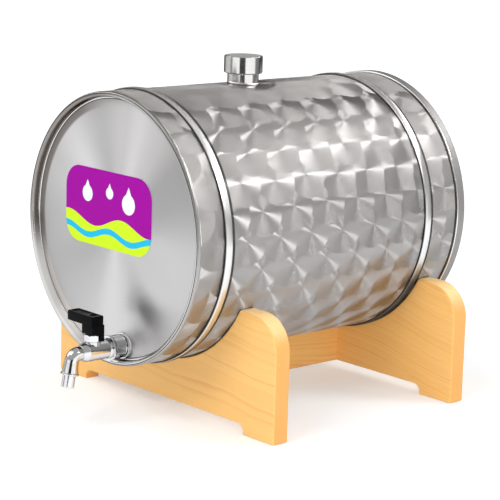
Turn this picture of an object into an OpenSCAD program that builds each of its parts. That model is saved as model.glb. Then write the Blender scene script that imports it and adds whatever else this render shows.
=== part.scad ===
// Lying stainless steel drink barrel with a screw-capped filler, a lever tap and a pine cradle stand.
// Millimetres, +Z up. The barrel lies along Y with its tap end towards -Y, and the stand rests on Z = 0.
// Places along the barrel are measured back from its front rim.

/* [Barrel] */
// Outer diameter of the shell
barrel_d = 295; // [260:1:340]
// Length of the barrel from its front rim to its rear band
barrel_l = 395; // [360:1:480]
// Thickness of the sheet steel
sheet_t = 1; // [0.6:0.1:1.6]
// Depth of the end discs inside the ends of the barrel
head_depth = 9.5; // [7:0.5:14]
// Radial width of the rolled front rim
rim_w = 6; // [5:0.5:10]
// Width of the folded rear band along the barrel
rear_band_w = 12; // [9:1:20]
// Height of the folded rear band above the shell
rear_band_h = 2.4; // [1.4:0.1:4]

/* [Hoops] */
// Middle of the front hoop, behind the front rim
front_hoop_y = 41; // [30:1:55]
// Middle of the rear hoop, ahead of the rear end
rear_hoop_y = 59; // [45:1:75]
// Width of a pressed hoop
hoop_w = 10; // [8:0.5:14]
// Height of a pressed hoop above the shell
hoop_h = 2.4; // [1.4:0.1:3.6]

/* [Filler] */
// Axis of the filler neck, behind the front rim
neck_y = 184; // [150:1:240]
// Outer diameter of the neck's plain foot
neck_d = 35; // [31:0.5:42]
// Height of the neck's plain foot above the top of the shell
neck_h = 10.5; // [6:0.5:20]
// Outer diameter of the neck's threaded end
neck_thread_d = 33.2; // [28:0.2:34]
// Wall of the neck's threaded end
neck_wall = 2.6; // [2:0.1:4]
// Width of the weld bead around the neck
weld_w = 2.4; // [1.2:0.2:4]
// Height of the weld bead above the shell
weld_h = 1.8; // [1:0.2:3]
// Outer diameter of the screw cap
cap_d = 43; // [41:0.5:52]
// Height of the screw cap
cap_h = 19.4; // [15:0.2:28]
// Thickness of the cap's top
cap_top = 4; // [3:0.5:6]
// Chamfer around the cap's edges
cap_chamfer = 0.8; // [0.3:0.1:1.5]
// Thickness of the cap's gasket
gasket_t = 2; // [1:0.2:3]

/* [Tap] */
// Tap axis to the right of the barrel's centre line
tap_x = 15; // [0:1:30]
// Gap between the tap's flange and the wall of the front rim
flange_gap = 0.8; // [0.5:0.1:8]
// Diameter of the flange washer against the front disc
flange_d = 29; // [28:0.5:36]
// Thickness of the flange washer
flange_t = 2; // [1:0.5:4]
// Diameter of the sealing rings on both sides of the front disc
seal_d = 27; // [25:0.5:28]
// Thickness of a sealing ring
seal_t = 1.5; // [1:0.5:3]
// Diameter of the threaded tail through the front disc
tail_d = 20.6; // [18:0.2:22]
// Length of the threaded tail inside the barrel
tail_in = 11.5; // [10.5:0.5:20]
// Width of the lock nut across its flats
lock_nut_af = 27; // [25:0.5:30]
// Thickness of the lock nut
lock_nut_t = 6; // [4:0.5:7]
// Diameter of the collar
collar_d = 25.5; // [23:0.5:28]
// Length of the collar
collar_l = 16; // [10:0.5:24]
// Diameter of the ring at the front of the collar
shoulder_d = 28.4; // [25:0.2:30]
// Thickness of the ring at the front of the collar
shoulder_t = 2; // [1:0.5:4]
// Diameter of the tap's body
body_d = 20.6; // [19.4:0.2:24]
// Length of the straight part of the body
body_l = 29; // [28.5:0.5:40]
// Stem axis ahead of the back of the body
stem_ahead = 19; // [18:0.5:20]
// Length of the taper from the body to the spout
taper_l = 7; // [4:0.5:12]
// Bore of the waterway
bore_d = 9.6; // [8:0.2:10]
// Diameter of the ball
ball_d = 14; // [13.4:0.2:14.4]
// Thickness of the ball's seats along the waterway
seat_t = 4.5; // [4:0.1:4.8]

/* [Spout] */
// Outer diameter of the elbow
elbow_d = 15; // [13.5:0.5:17]
// Length of the elbow's straight start
elbow_start = 2; // [1:0.5:8]
// Bend radius of the elbow's middle line
elbow_r = 9; // [8.6:0.2:16]
// Lean of the spout towards the front
spout_lean = 10.5; // [0:0.5:30]
// Length of the spout below the elbow
spout_l = 12.5; // [12:0.5:30]
// Outer diameter at the lower end of the spout
spout_end_d = 17.6; // [16:0.2:20]
// Diameter of the lip around the spout's end
lip_d = 19.6; // [17:0.2:24]
// Thickness of the lip
lip_t = 1.8; // [1:0.2:4]
// Outer diameter of the nozzle
nozzle_d = 13.6; // [13:0.2:16]
// Length of the nozzle below the lip
nozzle_l = 13.5; // [6:0.5:20]
// Wall of the nozzle
nozzle_wall = 2; // [1.6:0.1:2.4]

/* [Lever] */
// Diameter of the stem
stem_d = 6; // [5:0.2:6.4]
// Width of the gland nut across its flats
gland_af = 16; // [15:0.5:17]
// Height of the gland nut
gland_h = 7.4; // [6:0.2:10]
// Length of the lever's hub
hub_w = 21; // [20.6:0.2:25]
// Rounding of the upright corners of the lever and its hub
hub_r = 2; // [1:0.5:6]
// Height of the lever's top above the tap axis
lever_top = 39; // [38:0.5:48]
// Reach of the lever from the stem axis
lever_reach = 36; // [30:1:38]
// Reach of the lever behind the stem axis
lever_back = 8.5; // [7:0.5:10]
// Width of the lever and its hub
lever_w = 16; // [13:0.5:20]
// Thickness of the lever
lever_t = 10.6; // [9:0.2:13]
// Depth of the panel sunk in the lever's top
panel_t = 1; // [0.4:0.2:2]
// Diameter of the lever screw's head
screw_head_d = 7.4; // [6.6:0.2:9]
// Height of the lever screw's head
screw_head_h = 2.6; // [2:0.2:3.4]
// Diameter of the lever screw's shank
screw_d = 3; // [2.4:0.2:3.4]

/* [Label] */
// Width of the sticker on the front disc
label_w = 150; // [90:1:160]
// Height of the sticker on the front disc
label_h = 84; // [50:1:110]
// Corner radius of the sticker
label_r = 24; // [4:1:24]
// Middle of the sticker to the right of the barrel axis
label_x = -15; // [-30:1:30]
// Middle of the sticker above the barrel axis
label_z = 18; // [0:1:30]
// Thickness of the sticker
label_t = 0.4; // [0.2:0.1:1]

/* [Stand] */
// Height of the shell's underside above the floor
barrel_clear = 59.5; // [50:0.5:90]
// Front face of the front cradle board, behind the front rim
front_board_y = 74.5; // [72:0.5:110]
// Gap between the rear hoop and the rear cradle board
rear_board_gap = 3; // [0.5:0.5:8]
// Thickness of the cradle boards
board_t = 20; // [18:1:26]
// Reach of a cradle board beyond the side of the shell
horn_over = 41; // [34:0.5:60]
// Height of the barrel axis above the tops of the cradle boards
horn_drop = 72.5; // [60:0.5:85]
// Corner radius of the horns
horn_r = 38; // [10:1:42]
// Height of the arch between the feet
arch_h = 11; // [9.5:0.5:18]
// Corner radius of the arch
arch_r = 9; // [3:0.5:9]
// Width of a foot
foot_w = 50; // [30:1:70]
// Middle of the stretcher to the right of the barrel's centre line
stretcher_x = -6; // [-20:1:20]
// Thickness of the stretcher
stretcher_t = 16; // [14:1:24]
// Gap between the stretcher and the shell's underside
stretcher_gap = 4.5; // [4:0.5:10]
// Diameter of the dowels in the stretcher's ends
dowel_d = 8; // [6:0.5:10]
// Depth of the dowels in the stretcher and in the boards
dowel_in = 14; // [10:1:16]

/* [Clearances] */
// Gap between the shell and the cradle's curve
cradle_gap = 0.3; // [0.3:0.1:1]
// Radial gap around glued and screwed parts
fit_gap = 0.05; // [0.02:0.01:0.1]
// Radial gap around the turning stem and ball
run_gap = 0.08; // [0.04:0.01:0.1]
// Gap between the cap and the threaded neck
cap_gap = 0.3; // [0.3:0.05:0.5]
// Gap between the lever and the gland nut
lever_gap = 0.4; // [0.3:0.1:1]

/* [Hidden] */
$fn = 96;

// Overrun that carries a cut clear through a face
cut = 1;

// Barrel
barrel_r = barrel_d / 2;
axis_h = barrel_clear + barrel_r;
rim_wall_r = barrel_r - rim_w;
shell_front = rim_w / 2;
shell_rear = barrel_l - sheet_t;
rear_hoop_from_front = barrel_l - rear_hoop_y;
hoop_places = [front_hoop_y, rear_hoop_from_front];
hoop_r = (hoop_w * hoop_w / 4 + hoop_h * hoop_h) / (2 * hoop_h);

// Filler, with heights above the barrel axis
neck_shoulder_z = barrel_r + neck_h;
cap_z = neck_shoulder_z + cap_gap;
cap_roof_z = cap_z + cap_h - cap_top;
neck_top_z = cap_roof_z - gasket_t;
neck_bore_d = neck_thread_d - 2 * neck_wall;
neck_past_sheet = 3;
neck_in = sheet_t + neck_past_sheet;

// Tap, with places forward of the front disc along the tap axis
tap_off_centre = rim_wall_r - flange_gap - flange_d / 2;
tap_drop = sqrt(tap_off_centre * tap_off_centre - tap_x * tap_x);
collar_at = seal_t + flange_t;
body_at = collar_at + collar_l + shoulder_t;
stem_at = body_at + stem_ahead;
taper_at = body_at + body_l;
elbow_at = taper_at + taper_l;
bend_at = elbow_at + elbow_start;
bend_angle = 90 - spout_lean;
chamber_gap = 0.5;
chamber_d = ball_d + 2 * chamber_gap;
seat_back_t = 1.2;
seat_face = ball_d / 2 + seat_back_t;
// Step by which the elbow's straight ends stand proud of its bend
spout_step = 0.3;
nozzle_in = 6;
nozzle_shank_step = 0.7;
nozzle_shank_d = nozzle_d - 2 * nozzle_shank_step;
lock_nut_at = sheet_t + seal_t;

// Stem, with heights above the tap axis
boss_rise = 0.6;
boss_h = body_d / 2 + boss_rise;
boss_d = gland_af;
packing_w = 1.9;
packing_t = 4;
packing_sink = 0.4;
packing_d = stem_d + 2 * packing_w;
packing_z = boss_h - packing_sink;
gland_wall = 1.1;
gland_thread_d = packing_d + 2 * gland_wall;
gland_roof_z = packing_z + packing_t;
gland_top_z = boss_h + gland_h;
hub_z = gland_top_z + lever_gap;
skirt_rise = 0.8;
skirt_z = boss_h + skirt_rise;
skirt_r = gland_af / sqrt(3) + lever_gap;
slot_w = stem_d / 2;
slot_depth = 2;
slot_z = ball_d / 2 - slot_depth;
tang_w = stem_d * 0.85;
stem_flat = stem_d * 0.77;
stem_from_z = ball_d / 2 + fit_gap;
lever_web_t = 2.6;
hub_lap = 1.3;
panel_border = 3;
screw_sink = 2.4;
screw_head_gap = 0.4;
screw_slot_w = 1;
screw_in = 7;
screw_seat_z = lever_top - screw_head_h - screw_sink;
stem_top_z = screw_seat_z - lever_web_t;
screw_well_d = screw_head_d + 2 * screw_head_gap;
hub_h = lever_top - lever_t + hub_lap - hub_z;
lever_l = lever_reach + lever_back;
panel_from = screw_well_d / 2 + panel_border;
panel_l = lever_reach - panel_border - panel_from;

// Length over the spout and the barrel, whose middle is the origin along Y
leg_at = bend_at + elbow_r * sin(bend_angle);
lip_front = leg_at + (spout_l + lip_t) * sin(spout_lean) + lip_d / 2 * cos(spout_lean);
nozzle_front = leg_at + (spout_l + lip_t + nozzle_l) * sin(spout_lean) + nozzle_d / 2 * cos(spout_lean);
spout_front = max(lip_front, nozzle_front) - head_depth;
mid_y = (barrel_l - spout_front) / 2;

// Stand
board_half_w = barrel_r + horn_over;
board_h = axis_h - horn_drop;
rear_board_y = rear_hoop_from_front + hoop_w / 2 + rear_board_gap;
stretcher_y = front_board_y + board_t;
stretcher_l = rear_board_y - stretcher_y;
stretcher_h = barrel_clear - stretcher_gap - arch_h;
dowel_heights = [for (side = [-1, 1]) arch_h + stretcher_h / 2 + side * stretcher_h / 4];

// Frames of reference

// Local Z runs back along the barrel axis from the front rim
module along_barrel() {
    translate([0, -mid_y, axis_h]) rotate([-90, 0, 0]) children();
}

// Local Z rises from the barrel axis through the filler
module at_neck() {
    translate([0, neck_y - mid_y, axis_h]) children();
}

// Local Z runs forward along the tap axis from the front disc, and local Y is up
module at_tap() {
    translate([tap_x, head_depth - mid_y, axis_h - tap_drop]) rotate([90, 0, 0]) children();
}

// Local Z rises from the tap axis through the stem
module at_stem() {
    translate([tap_x, head_depth - mid_y - stem_at, axis_h - tap_drop]) children();
}

// Local X and Y lie in the elbow's plane, with the bend turning about local Z
module at_bend() {
    at_tap() translate([0, -elbow_r, bend_at]) rotate([90, 0, 90]) children();
}

// Local Z runs down the spout from the end of the bend
module down_spout() {
    at_bend() rotate([0, 0, bend_angle]) translate([elbow_r, 0, 0]) rotate([-90, 0, 0]) children();
}

// Shared shapes

module tube(outer_d, inner_d, length) {
    difference() {
        cylinder(d = outer_d, h = length);
        translate([0, 0, -cut]) cylinder(d = inner_d, h = length + 2 * cut);
    }
}

module hexagon_bar(across_flats, length) {
    cylinder(d = across_flats / cos(30), h = length, $fn = 6);
}

module rounded_rectangle(width, height, radius) {
    square([width - 2 * radius, height], center = true);
    square([width, height - 2 * radius], center = true);
    for (x = [-1, 1], y = [-1, 1])
        translate([x * (width / 2 - radius), y * (height / 2 - radius)]) circle(radius);
}

// Stand

module board_outline() {
    difference() {
        union() {
            translate([-board_half_w, 0]) square([2 * board_half_w, board_h - horn_r]);
            translate([horn_r - board_half_w, 0]) square([2 * (board_half_w - horn_r), board_h]);
            for (side = [-1, 1])
                translate([side * (board_half_w - horn_r), board_h - horn_r]) circle(horn_r);
        }
        translate([0, axis_h]) circle(barrel_r + cradle_gap, $fn = 192);
        rounded_rectangle(2 * (board_half_w - foot_w), 2 * arch_h, arch_r);
    }
}

// Local Z runs back through the board from its front face
module dowel_places() {
    for (height = dowel_heights) translate([stretcher_x, 0, height]) rotate([-90, 0, 0]) children();
}

module front_cradle() {
    color("burlywood") difference() {
        translate([0, front_board_y + board_t - mid_y, 0])
            rotate([90, 0, 0]) linear_extrude(board_t) board_outline();
        translate([0, stretcher_y - dowel_in - mid_y, 0])
            dowel_places() cylinder(d = dowel_d + 2 * fit_gap, h = dowel_in + cut);
    }
}

module rear_cradle() {
    color("burlywood") difference() {
        translate([0, rear_board_y + board_t - mid_y, 0])
            rotate([90, 0, 0]) linear_extrude(board_t) board_outline();
        translate([0, rear_board_y - cut - mid_y, 0])
            dowel_places() cylinder(d = dowel_d + 2 * fit_gap, h = dowel_in + cut);
    }
}

module stretcher() {
    color("burlywood") difference() {
        translate([stretcher_x - stretcher_t / 2, stretcher_y - mid_y, arch_h])
            cube([stretcher_t, stretcher_l, stretcher_h]);
        for (start = [stretcher_y - cut, rear_board_y - dowel_in])
            translate([0, start - mid_y, 0])
                dowel_places() cylinder(d = dowel_d + 2 * fit_gap, h = dowel_in + cut);
    }
}

module stretcher_dowels() {
    color("tan") for (joint = [stretcher_y, rear_board_y])
        translate([0, joint - dowel_in - mid_y, 0])
            dowel_places() cylinder(d = dowel_d, h = 2 * dowel_in);
}

// Barrel

// Half section of the shell, drawn in by an inset
module shell_section(inset, overrun) {
    translate([0, shell_front - overrun])
        square([barrel_r - inset, shell_rear - shell_front + 2 * overrun]);
    for (place = hoop_places)
        translate([barrel_r + hoop_h - hoop_r, place]) circle(hoop_r - inset);
}

module barrel_shell() {
    color("silver") difference() {
        along_barrel() rotate_extrude($fn = 192) difference() {
            shell_section(0, 0);
            shell_section(sheet_t, cut);
        }
        at_neck() cylinder(d = neck_d + 2 * fit_gap, h = barrel_d);
    }
}

module front_head() {
    color("gainsboro") difference() {
        along_barrel() rotate_extrude($fn = 192) {
            translate([0, head_depth]) square([rim_wall_r + sheet_t, sheet_t]);
            translate([rim_wall_r, shell_front]) square([sheet_t, head_depth + sheet_t - shell_front]);
            translate([rim_wall_r + rim_w / 2, shell_front]) difference() {
                circle(d = rim_w);
                circle(d = rim_w - 2 * sheet_t);
                translate([-rim_w, 0]) square([2 * rim_w, rim_w]);
            }
        }
        at_tap() translate([0, 0, -sheet_t - cut]) cylinder(d = tail_d + 2 * fit_gap, h = sheet_t + 2 * cut);
    }
}

module rear_head() {
    color("gainsboro") along_barrel() rotate_extrude($fn = 192) {
        translate([0, barrel_l - head_depth - sheet_t]) square([rim_wall_r + sheet_t, sheet_t]);
        translate([rim_wall_r, barrel_l - head_depth - sheet_t]) square([sheet_t, head_depth + sheet_t]);
        translate([rim_wall_r, shell_rear]) square([rim_w + rear_band_h, sheet_t]);
        translate([barrel_r + fit_gap, barrel_l - rear_band_w]) square([rear_band_h - fit_gap, rear_band_w]);
    }
}

module front_label() {
    color("purple") translate([label_x, head_depth - mid_y, axis_h + label_z])
        rotate([90, 0, 0]) linear_extrude(label_t) rounded_rectangle(label_w, label_h, label_r);
}

// Filler

module filler_neck() {
    color("silver") at_neck() difference() {
        union() {
            translate([0, 0, barrel_r - neck_in]) cylinder(d = neck_d, h = neck_in + neck_h);
            translate([0, 0, barrel_r]) cylinder(d = neck_thread_d, h = neck_top_z - barrel_r);
        }
        translate([0, 0, barrel_r - neck_in - cut])
            cylinder(d = neck_bore_d, h = neck_top_z - barrel_r + neck_in + 2 * cut);
    }
}

module neck_weld() {
    color("silver") difference() {
        intersection() {
            at_neck() cylinder(d = neck_d + 2 * weld_w, h = barrel_d);
            along_barrel() cylinder(r = barrel_r + weld_h, h = barrel_l, $fn = 192);
        }
        at_neck() cylinder(d = neck_d + 2 * fit_gap, h = barrel_d);
        along_barrel() translate([0, 0, -cut])
            cylinder(r = barrel_r + fit_gap, h = barrel_l + 2 * cut, $fn = 192);
    }
}

module cap_gasket() {
    color("white") at_neck() translate([0, 0, neck_top_z]) tube(neck_thread_d, neck_bore_d, gasket_t);
}

module filler_cap() {
    color("silver") at_neck() translate([0, 0, cap_z]) difference() {
        rotate_extrude() polygon([
            [0, 0],
            [cap_d / 2 - cap_chamfer, 0],
            [cap_d / 2, cap_chamfer],
            [cap_d / 2, cap_h - cap_chamfer],
            [cap_d / 2 - cap_chamfer, cap_h],
            [0, cap_h]
        ]);
        translate([0, 0, -cut]) cylinder(d = neck_thread_d + 2 * cap_gap, h = cap_h - cap_top + cut);
    }
}

// Tap

module tap_outer_seal() {
    color("white") at_tap() tube(seal_d, tail_d + 2 * fit_gap, seal_t);
}

module tap_inner_seal() {
    color("white") at_tap() translate([0, 0, -sheet_t - seal_t]) tube(seal_d, tail_d + 2 * fit_gap, seal_t);
}

module tap_lock_nut() {
    color("silver") at_tap() translate([0, 0, -lock_nut_at - lock_nut_t]) difference() {
        hexagon_bar(lock_nut_af, lock_nut_t);
        translate([0, 0, -cut]) cylinder(d = tail_d + 2 * fit_gap, h = lock_nut_t + 2 * cut);
    }
}

module tap_flange() {
    color("silver") at_tap() translate([0, 0, seal_t]) tube(flange_d, tail_d + 2 * fit_gap, flange_t);
}

// Threaded tail, collar and the nose that holds the inlet seat
module tap_collar() {
    nose_end = stem_at - seat_face;
    color("silver") at_tap() difference() {
        union() {
            translate([0, 0, -tail_in]) cylinder(d = tail_d, h = tail_in + collar_at + cut);
            translate([0, 0, collar_at]) cylinder(d = collar_d, h = collar_l);
            translate([0, 0, collar_at + collar_l]) cylinder(d = shoulder_d, h = shoulder_t);
            translate([0, 0, collar_at]) cylinder(d = chamber_d - 2 * fit_gap, h = nose_end - collar_at);
        }
        translate([0, 0, -tail_in - cut]) cylinder(d = bore_d, h = tail_in + nose_end + 2 * cut);
    }
}

module tap_body() {
    color("silver") difference() {
        union() {
            at_tap() translate([0, 0, body_at]) cylinder(d = body_d, h = body_l);
            at_tap() translate([0, 0, taper_at]) cylinder(d1 = body_d, d2 = elbow_d, h = taper_l);
            at_stem() cylinder(d = boss_d, h = boss_h);
            at_stem() cylinder(d = gland_thread_d, h = gland_roof_z);
        }
        at_tap() translate([0, 0, body_at - cut]) cylinder(d = chamber_d, h = stem_ahead + seat_face + cut);
        at_tap() translate([0, 0, body_at]) cylinder(d = bore_d, h = body_l + taper_l + cut);
        at_stem() cylinder(d = stem_d + 2 * run_gap, h = gland_roof_z + cut);
        at_stem() translate([0, 0, packing_z]) cylinder(d = packing_d + 2 * fit_gap, h = packing_t + cut);
    }
}

// Seat with a round socket for the ball, facing back from its place ahead of the stem
module ball_seat() {
    difference() {
        translate([0, 0, seat_face - seat_t]) tube(chamber_d - 2 * fit_gap, bore_d, seat_t);
        sphere(d = ball_d + 2 * run_gap);
    }
}

module inlet_ball_seat() {
    color("white") at_tap() translate([0, 0, stem_at]) mirror([0, 0, 1]) ball_seat();
}

module outlet_ball_seat() {
    color("white") at_tap() translate([0, 0, stem_at]) ball_seat();
}

module tap_spout() {
    color("silver") difference() {
        union() {
            at_tap() translate([0, 0, elbow_at])
                cylinder(d = elbow_d + 2 * spout_step, h = elbow_start + spout_step);
            at_bend() rotate_extrude(angle = bend_angle) translate([elbow_r, 0]) circle(d = elbow_d);
            down_spout() translate([0, 0, -spout_step]) cylinder(
                d1 = elbow_d + 2 * spout_step, d2 = spout_end_d, h = spout_step + spout_l + lip_t / 2
            );
            down_spout() translate([0, 0, spout_l]) cylinder(d = lip_d, h = lip_t);
        }
        at_tap() translate([0, 0, elbow_at - cut])
            cylinder(d = bore_d + 2 * spout_step, h = cut + elbow_start + spout_step);
        at_bend() rotate_extrude(angle = bend_angle) translate([elbow_r, 0]) circle(d = bore_d);
        down_spout() translate([0, 0, -spout_step])
            cylinder(d = bore_d + 2 * spout_step, h = spout_step + spout_l + lip_t + cut);
        down_spout() translate([0, 0, spout_l + lip_t - nozzle_in])
            cylinder(d = nozzle_shank_d + 2 * fit_gap, h = nozzle_in + cut);
    }
}

module tap_nozzle() {
    color("silver") down_spout() translate([0, 0, spout_l + lip_t]) difference() {
        union() {
            cylinder(d = nozzle_d, h = nozzle_l);
            translate([0, 0, -nozzle_in]) cylinder(d = nozzle_shank_d, h = nozzle_in + cut);
        }
        translate([0, 0, -nozzle_in - cut])
            cylinder(d = nozzle_d - 2 * nozzle_wall, h = nozzle_in + nozzle_l + 2 * cut);
    }
}

// Stem and lever

module stem_packing() {
    color("white") at_stem() translate([0, 0, packing_z]) tube(packing_d, stem_d + 2 * run_gap, packing_t);
}

module gland_nut() {
    color("silver") at_stem() difference() {
        translate([0, 0, boss_h]) hexagon_bar(gland_af, gland_h);
        cylinder(d = gland_thread_d + 2 * fit_gap, h = gland_roof_z);
        cylinder(d = stem_d + 2 * run_gap, h = gland_top_z + cut);
    }
}

// The ball lies across the waterway while the lever is shut
module tap_ball() {
    color("silver") at_stem() difference() {
        sphere(d = ball_d);
        rotate([0, 90, 0]) cylinder(d = bore_d, h = 2 * ball_d, center = true);
        translate([-ball_d, -slot_w / 2, slot_z]) cube([2 * ball_d, slot_w, ball_d]);
    }
}

module tap_stem() {
    color("silver") at_stem() difference() {
        union() {
            translate([0, 0, stem_from_z]) cylinder(d = stem_d, h = stem_top_z - stem_from_z);
            translate([-tang_w / 2, fit_gap - slot_w / 2, slot_z + fit_gap])
                cube([tang_w, slot_w - 2 * fit_gap, slot_depth + cut]);
        }
        for (side = [-1, 1])
            translate([-stem_d, side * (stem_flat + stem_d) / 2 - stem_d / 2, hub_z])
                cube([2 * stem_d, stem_d, lever_top]);
        translate([0, 0, stem_top_z - screw_in]) cylinder(d = screw_d + 2 * fit_gap, h = screw_in + cut);
    }
}

module tap_handle() {
    color("black") at_stem() difference() {
        union() {
            translate([0, 0, hub_z]) linear_extrude(hub_h) rounded_rectangle(hub_w, lever_w, hub_r);
            translate([(lever_back - lever_reach) / 2, 0, lever_top - lever_t])
                linear_extrude(lever_t) rounded_rectangle(lever_l, lever_w, hub_r);
            translate([0, 0, skirt_z]) linear_extrude(hub_z - skirt_z + cut) intersection() {
                rounded_rectangle(hub_w, lever_w, hub_r);
                translate([hub_w / 8, -hub_w]) square([hub_w, 2 * hub_w]);
            }
        }
        cylinder(r = skirt_r, h = hub_z);
        intersection() {
            cylinder(d = stem_d + 2 * fit_gap, h = stem_top_z);
            translate([-stem_d, -stem_flat / 2 - fit_gap, 0])
                cube([2 * stem_d, stem_flat + 2 * fit_gap, lever_top]);
        }
        cylinder(d = screw_d + 2 * fit_gap, h = lever_top);
        translate([0, 0, screw_seat_z]) cylinder(d = screw_well_d, h = lever_top);
        translate([-panel_from - panel_l / 2, 0, lever_top - panel_t])
            linear_extrude(panel_t + cut) rounded_rectangle(panel_l, lever_w - 2 * panel_border, hub_r / 4);
    }
}

module handle_screw() {
    color("silver") at_stem() difference() {
        union() {
            translate([0, 0, screw_seat_z]) cylinder(d = screw_head_d, h = screw_head_h);
            translate([0, 0, stem_top_z - screw_in + cut])
                cylinder(d = screw_d, h = lever_web_t + screw_in);
        }
        translate([-screw_head_d, -screw_slot_w / 2, screw_seat_z + screw_head_h / 2])
            cube([2 * screw_head_d, screw_slot_w, screw_head_h]);
    }
}

front_cradle();
rear_cradle();
stretcher();
stretcher_dowels();
barrel_shell();
front_head();
rear_head();
front_label();
filler_neck();
neck_weld();
cap_gasket();
filler_cap();
tap_outer_seal();
tap_inner_seal();
tap_lock_nut();
tap_flange();
tap_collar();
tap_body();
inlet_ball_seat();
outlet_ball_seat();
tap_spout();
tap_nozzle();
stem_packing();
gland_nut();
tap_ball();
tap_stem();
tap_handle();
handle_screw();
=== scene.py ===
import math

import bmesh
import bpy
from bpy.props import FloatProperty, FloatVectorProperty, IntProperty, PointerProperty
from bpy.types import Operator, Panel, PropertyGroup
from mathutils import Matrix, Vector


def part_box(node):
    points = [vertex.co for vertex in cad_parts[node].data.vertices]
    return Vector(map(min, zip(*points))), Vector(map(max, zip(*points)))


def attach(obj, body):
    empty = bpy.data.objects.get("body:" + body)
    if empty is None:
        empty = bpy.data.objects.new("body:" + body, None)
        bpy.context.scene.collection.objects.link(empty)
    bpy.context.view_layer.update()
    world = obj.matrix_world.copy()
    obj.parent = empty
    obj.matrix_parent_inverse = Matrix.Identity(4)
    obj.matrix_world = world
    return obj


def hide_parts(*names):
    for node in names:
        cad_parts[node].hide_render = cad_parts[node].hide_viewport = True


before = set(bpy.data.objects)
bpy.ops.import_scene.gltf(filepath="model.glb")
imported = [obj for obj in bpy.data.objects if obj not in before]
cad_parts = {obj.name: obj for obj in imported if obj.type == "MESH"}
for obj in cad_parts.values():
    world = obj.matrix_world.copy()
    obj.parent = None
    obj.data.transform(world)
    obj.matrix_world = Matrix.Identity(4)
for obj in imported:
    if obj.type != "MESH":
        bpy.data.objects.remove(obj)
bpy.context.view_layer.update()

bl_info = {
    "name": "Lying Drink Barrel",
    "version": (1, 0, 0),
    "blender": (4, 5, 0),
    "location": "3D View > Sidebar > Drink Barrel",
    "description": "Dresses a lying stainless steel drink barrel with its tap and pine cradle stand",
    "category": "Object",
}

# Places that the construction model gives, in metres
SHELL_LOW, SHELL_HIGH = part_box("barrel_shell")
FRONT_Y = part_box("front_head")[0].y
REAR_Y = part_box("rear_head")[1].y
DISC_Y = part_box("front_label")[1].y
BARREL_L = REAR_Y - FRONT_Y
AXIS_Z = (SHELL_LOW.z + SHELL_HIGH.z) / 2
UP = Vector((0, 0, 1))
BACK = Vector((0, 1, 0))
MM = 0.001
# Shorter lengths count as none, and nearer corners as one
TINY = 1e-6
SAME_PLACE = 1e-7
# Gap between pieces that fit into each other, and between the lever and the nut and screw beside it
FIT = 0.3 * MM
LEVER_GAP = 0.4 * MM
# Middle of the studio along the barrel
STAGE_MIDDLE_Y = 30.0 * MM
# Collection of the pieces that the gleam lamp lights
GLEAMING = "gleaming_steel"
# Painted sheen of the turned discs: brightness laid into their colour by the angle from the top, in degrees
DISC_PAINTED_SHEEN = (
    (-180, 1.08), (-140, 1.04), (-110, 0.92), (-90, 0.88), (-62, 1.06), (-40, 1.30), (-10, 0.84), (6, 0.90),
    (22, 1.26), (34, 1.22), (54, 0.98), (75, 0.88), (110, 0.86), (150, 1.00), (180, 1.08),
)
# Grey of the low belt of the studio walls by bearing, in degrees
WALL_BELT = (
    (-180, 1.10), (-164, 1.00), (-160, 0.30), (-148, 0.30), (-144, 0.60), (-112, 0.60), (-98, 0.40),
    (-90, 0.14), (-52, 0.06), (18, 0.05), (28, 0.16), (52, 0.22), (62, 1.05), (116, 1.10), (121, 0.02),
    (151, 0.02), (156, 1.10),
)
# Light panels on the walls: bearing, half width, height and half height in degrees, and glow
LIGHT_PANELS = (
    (42, 46, 37, 4, 9.5),
    (-128, 18, 30, 13, 2.6),
    (-50, 70, 34, 14, -0.28),
    (-50, 34, 11, 4, 0.25),
    (-170, 21, 49, 12, 1.5),
)


def middle(node):
    """Middle of a node's box."""
    low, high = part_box(node)
    return (low + high) / 2


def box_size(node):
    """Size of a node's box."""
    low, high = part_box(node)
    return high - low


TAP_AXIS = middle("tap_flange")
STEM_AXIS = middle("gland_nut")
NECK_AXIS = middle("filler_neck")
NECK_FOOT = Vector((NECK_AXIS.x, NECK_AXIS.y, 0))


# Settings

def length(name, description, default):
    """A length in metres."""
    return FloatProperty(
        name=name, description=description, default=default, subtype="DISTANCE", unit="LENGTH", precision=5
    )


def colour(name, description, default):
    """A linear colour."""
    return FloatVectorProperty(
        name=name, description=description, default=default, subtype="COLOR", size=3, min=0, max=1
    )


def turn(name, description, default):
    """An angle in radians."""
    return FloatProperty(
        name=name, description=description, default=default, subtype="ANGLE", unit="ROTATION"
    )


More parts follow.
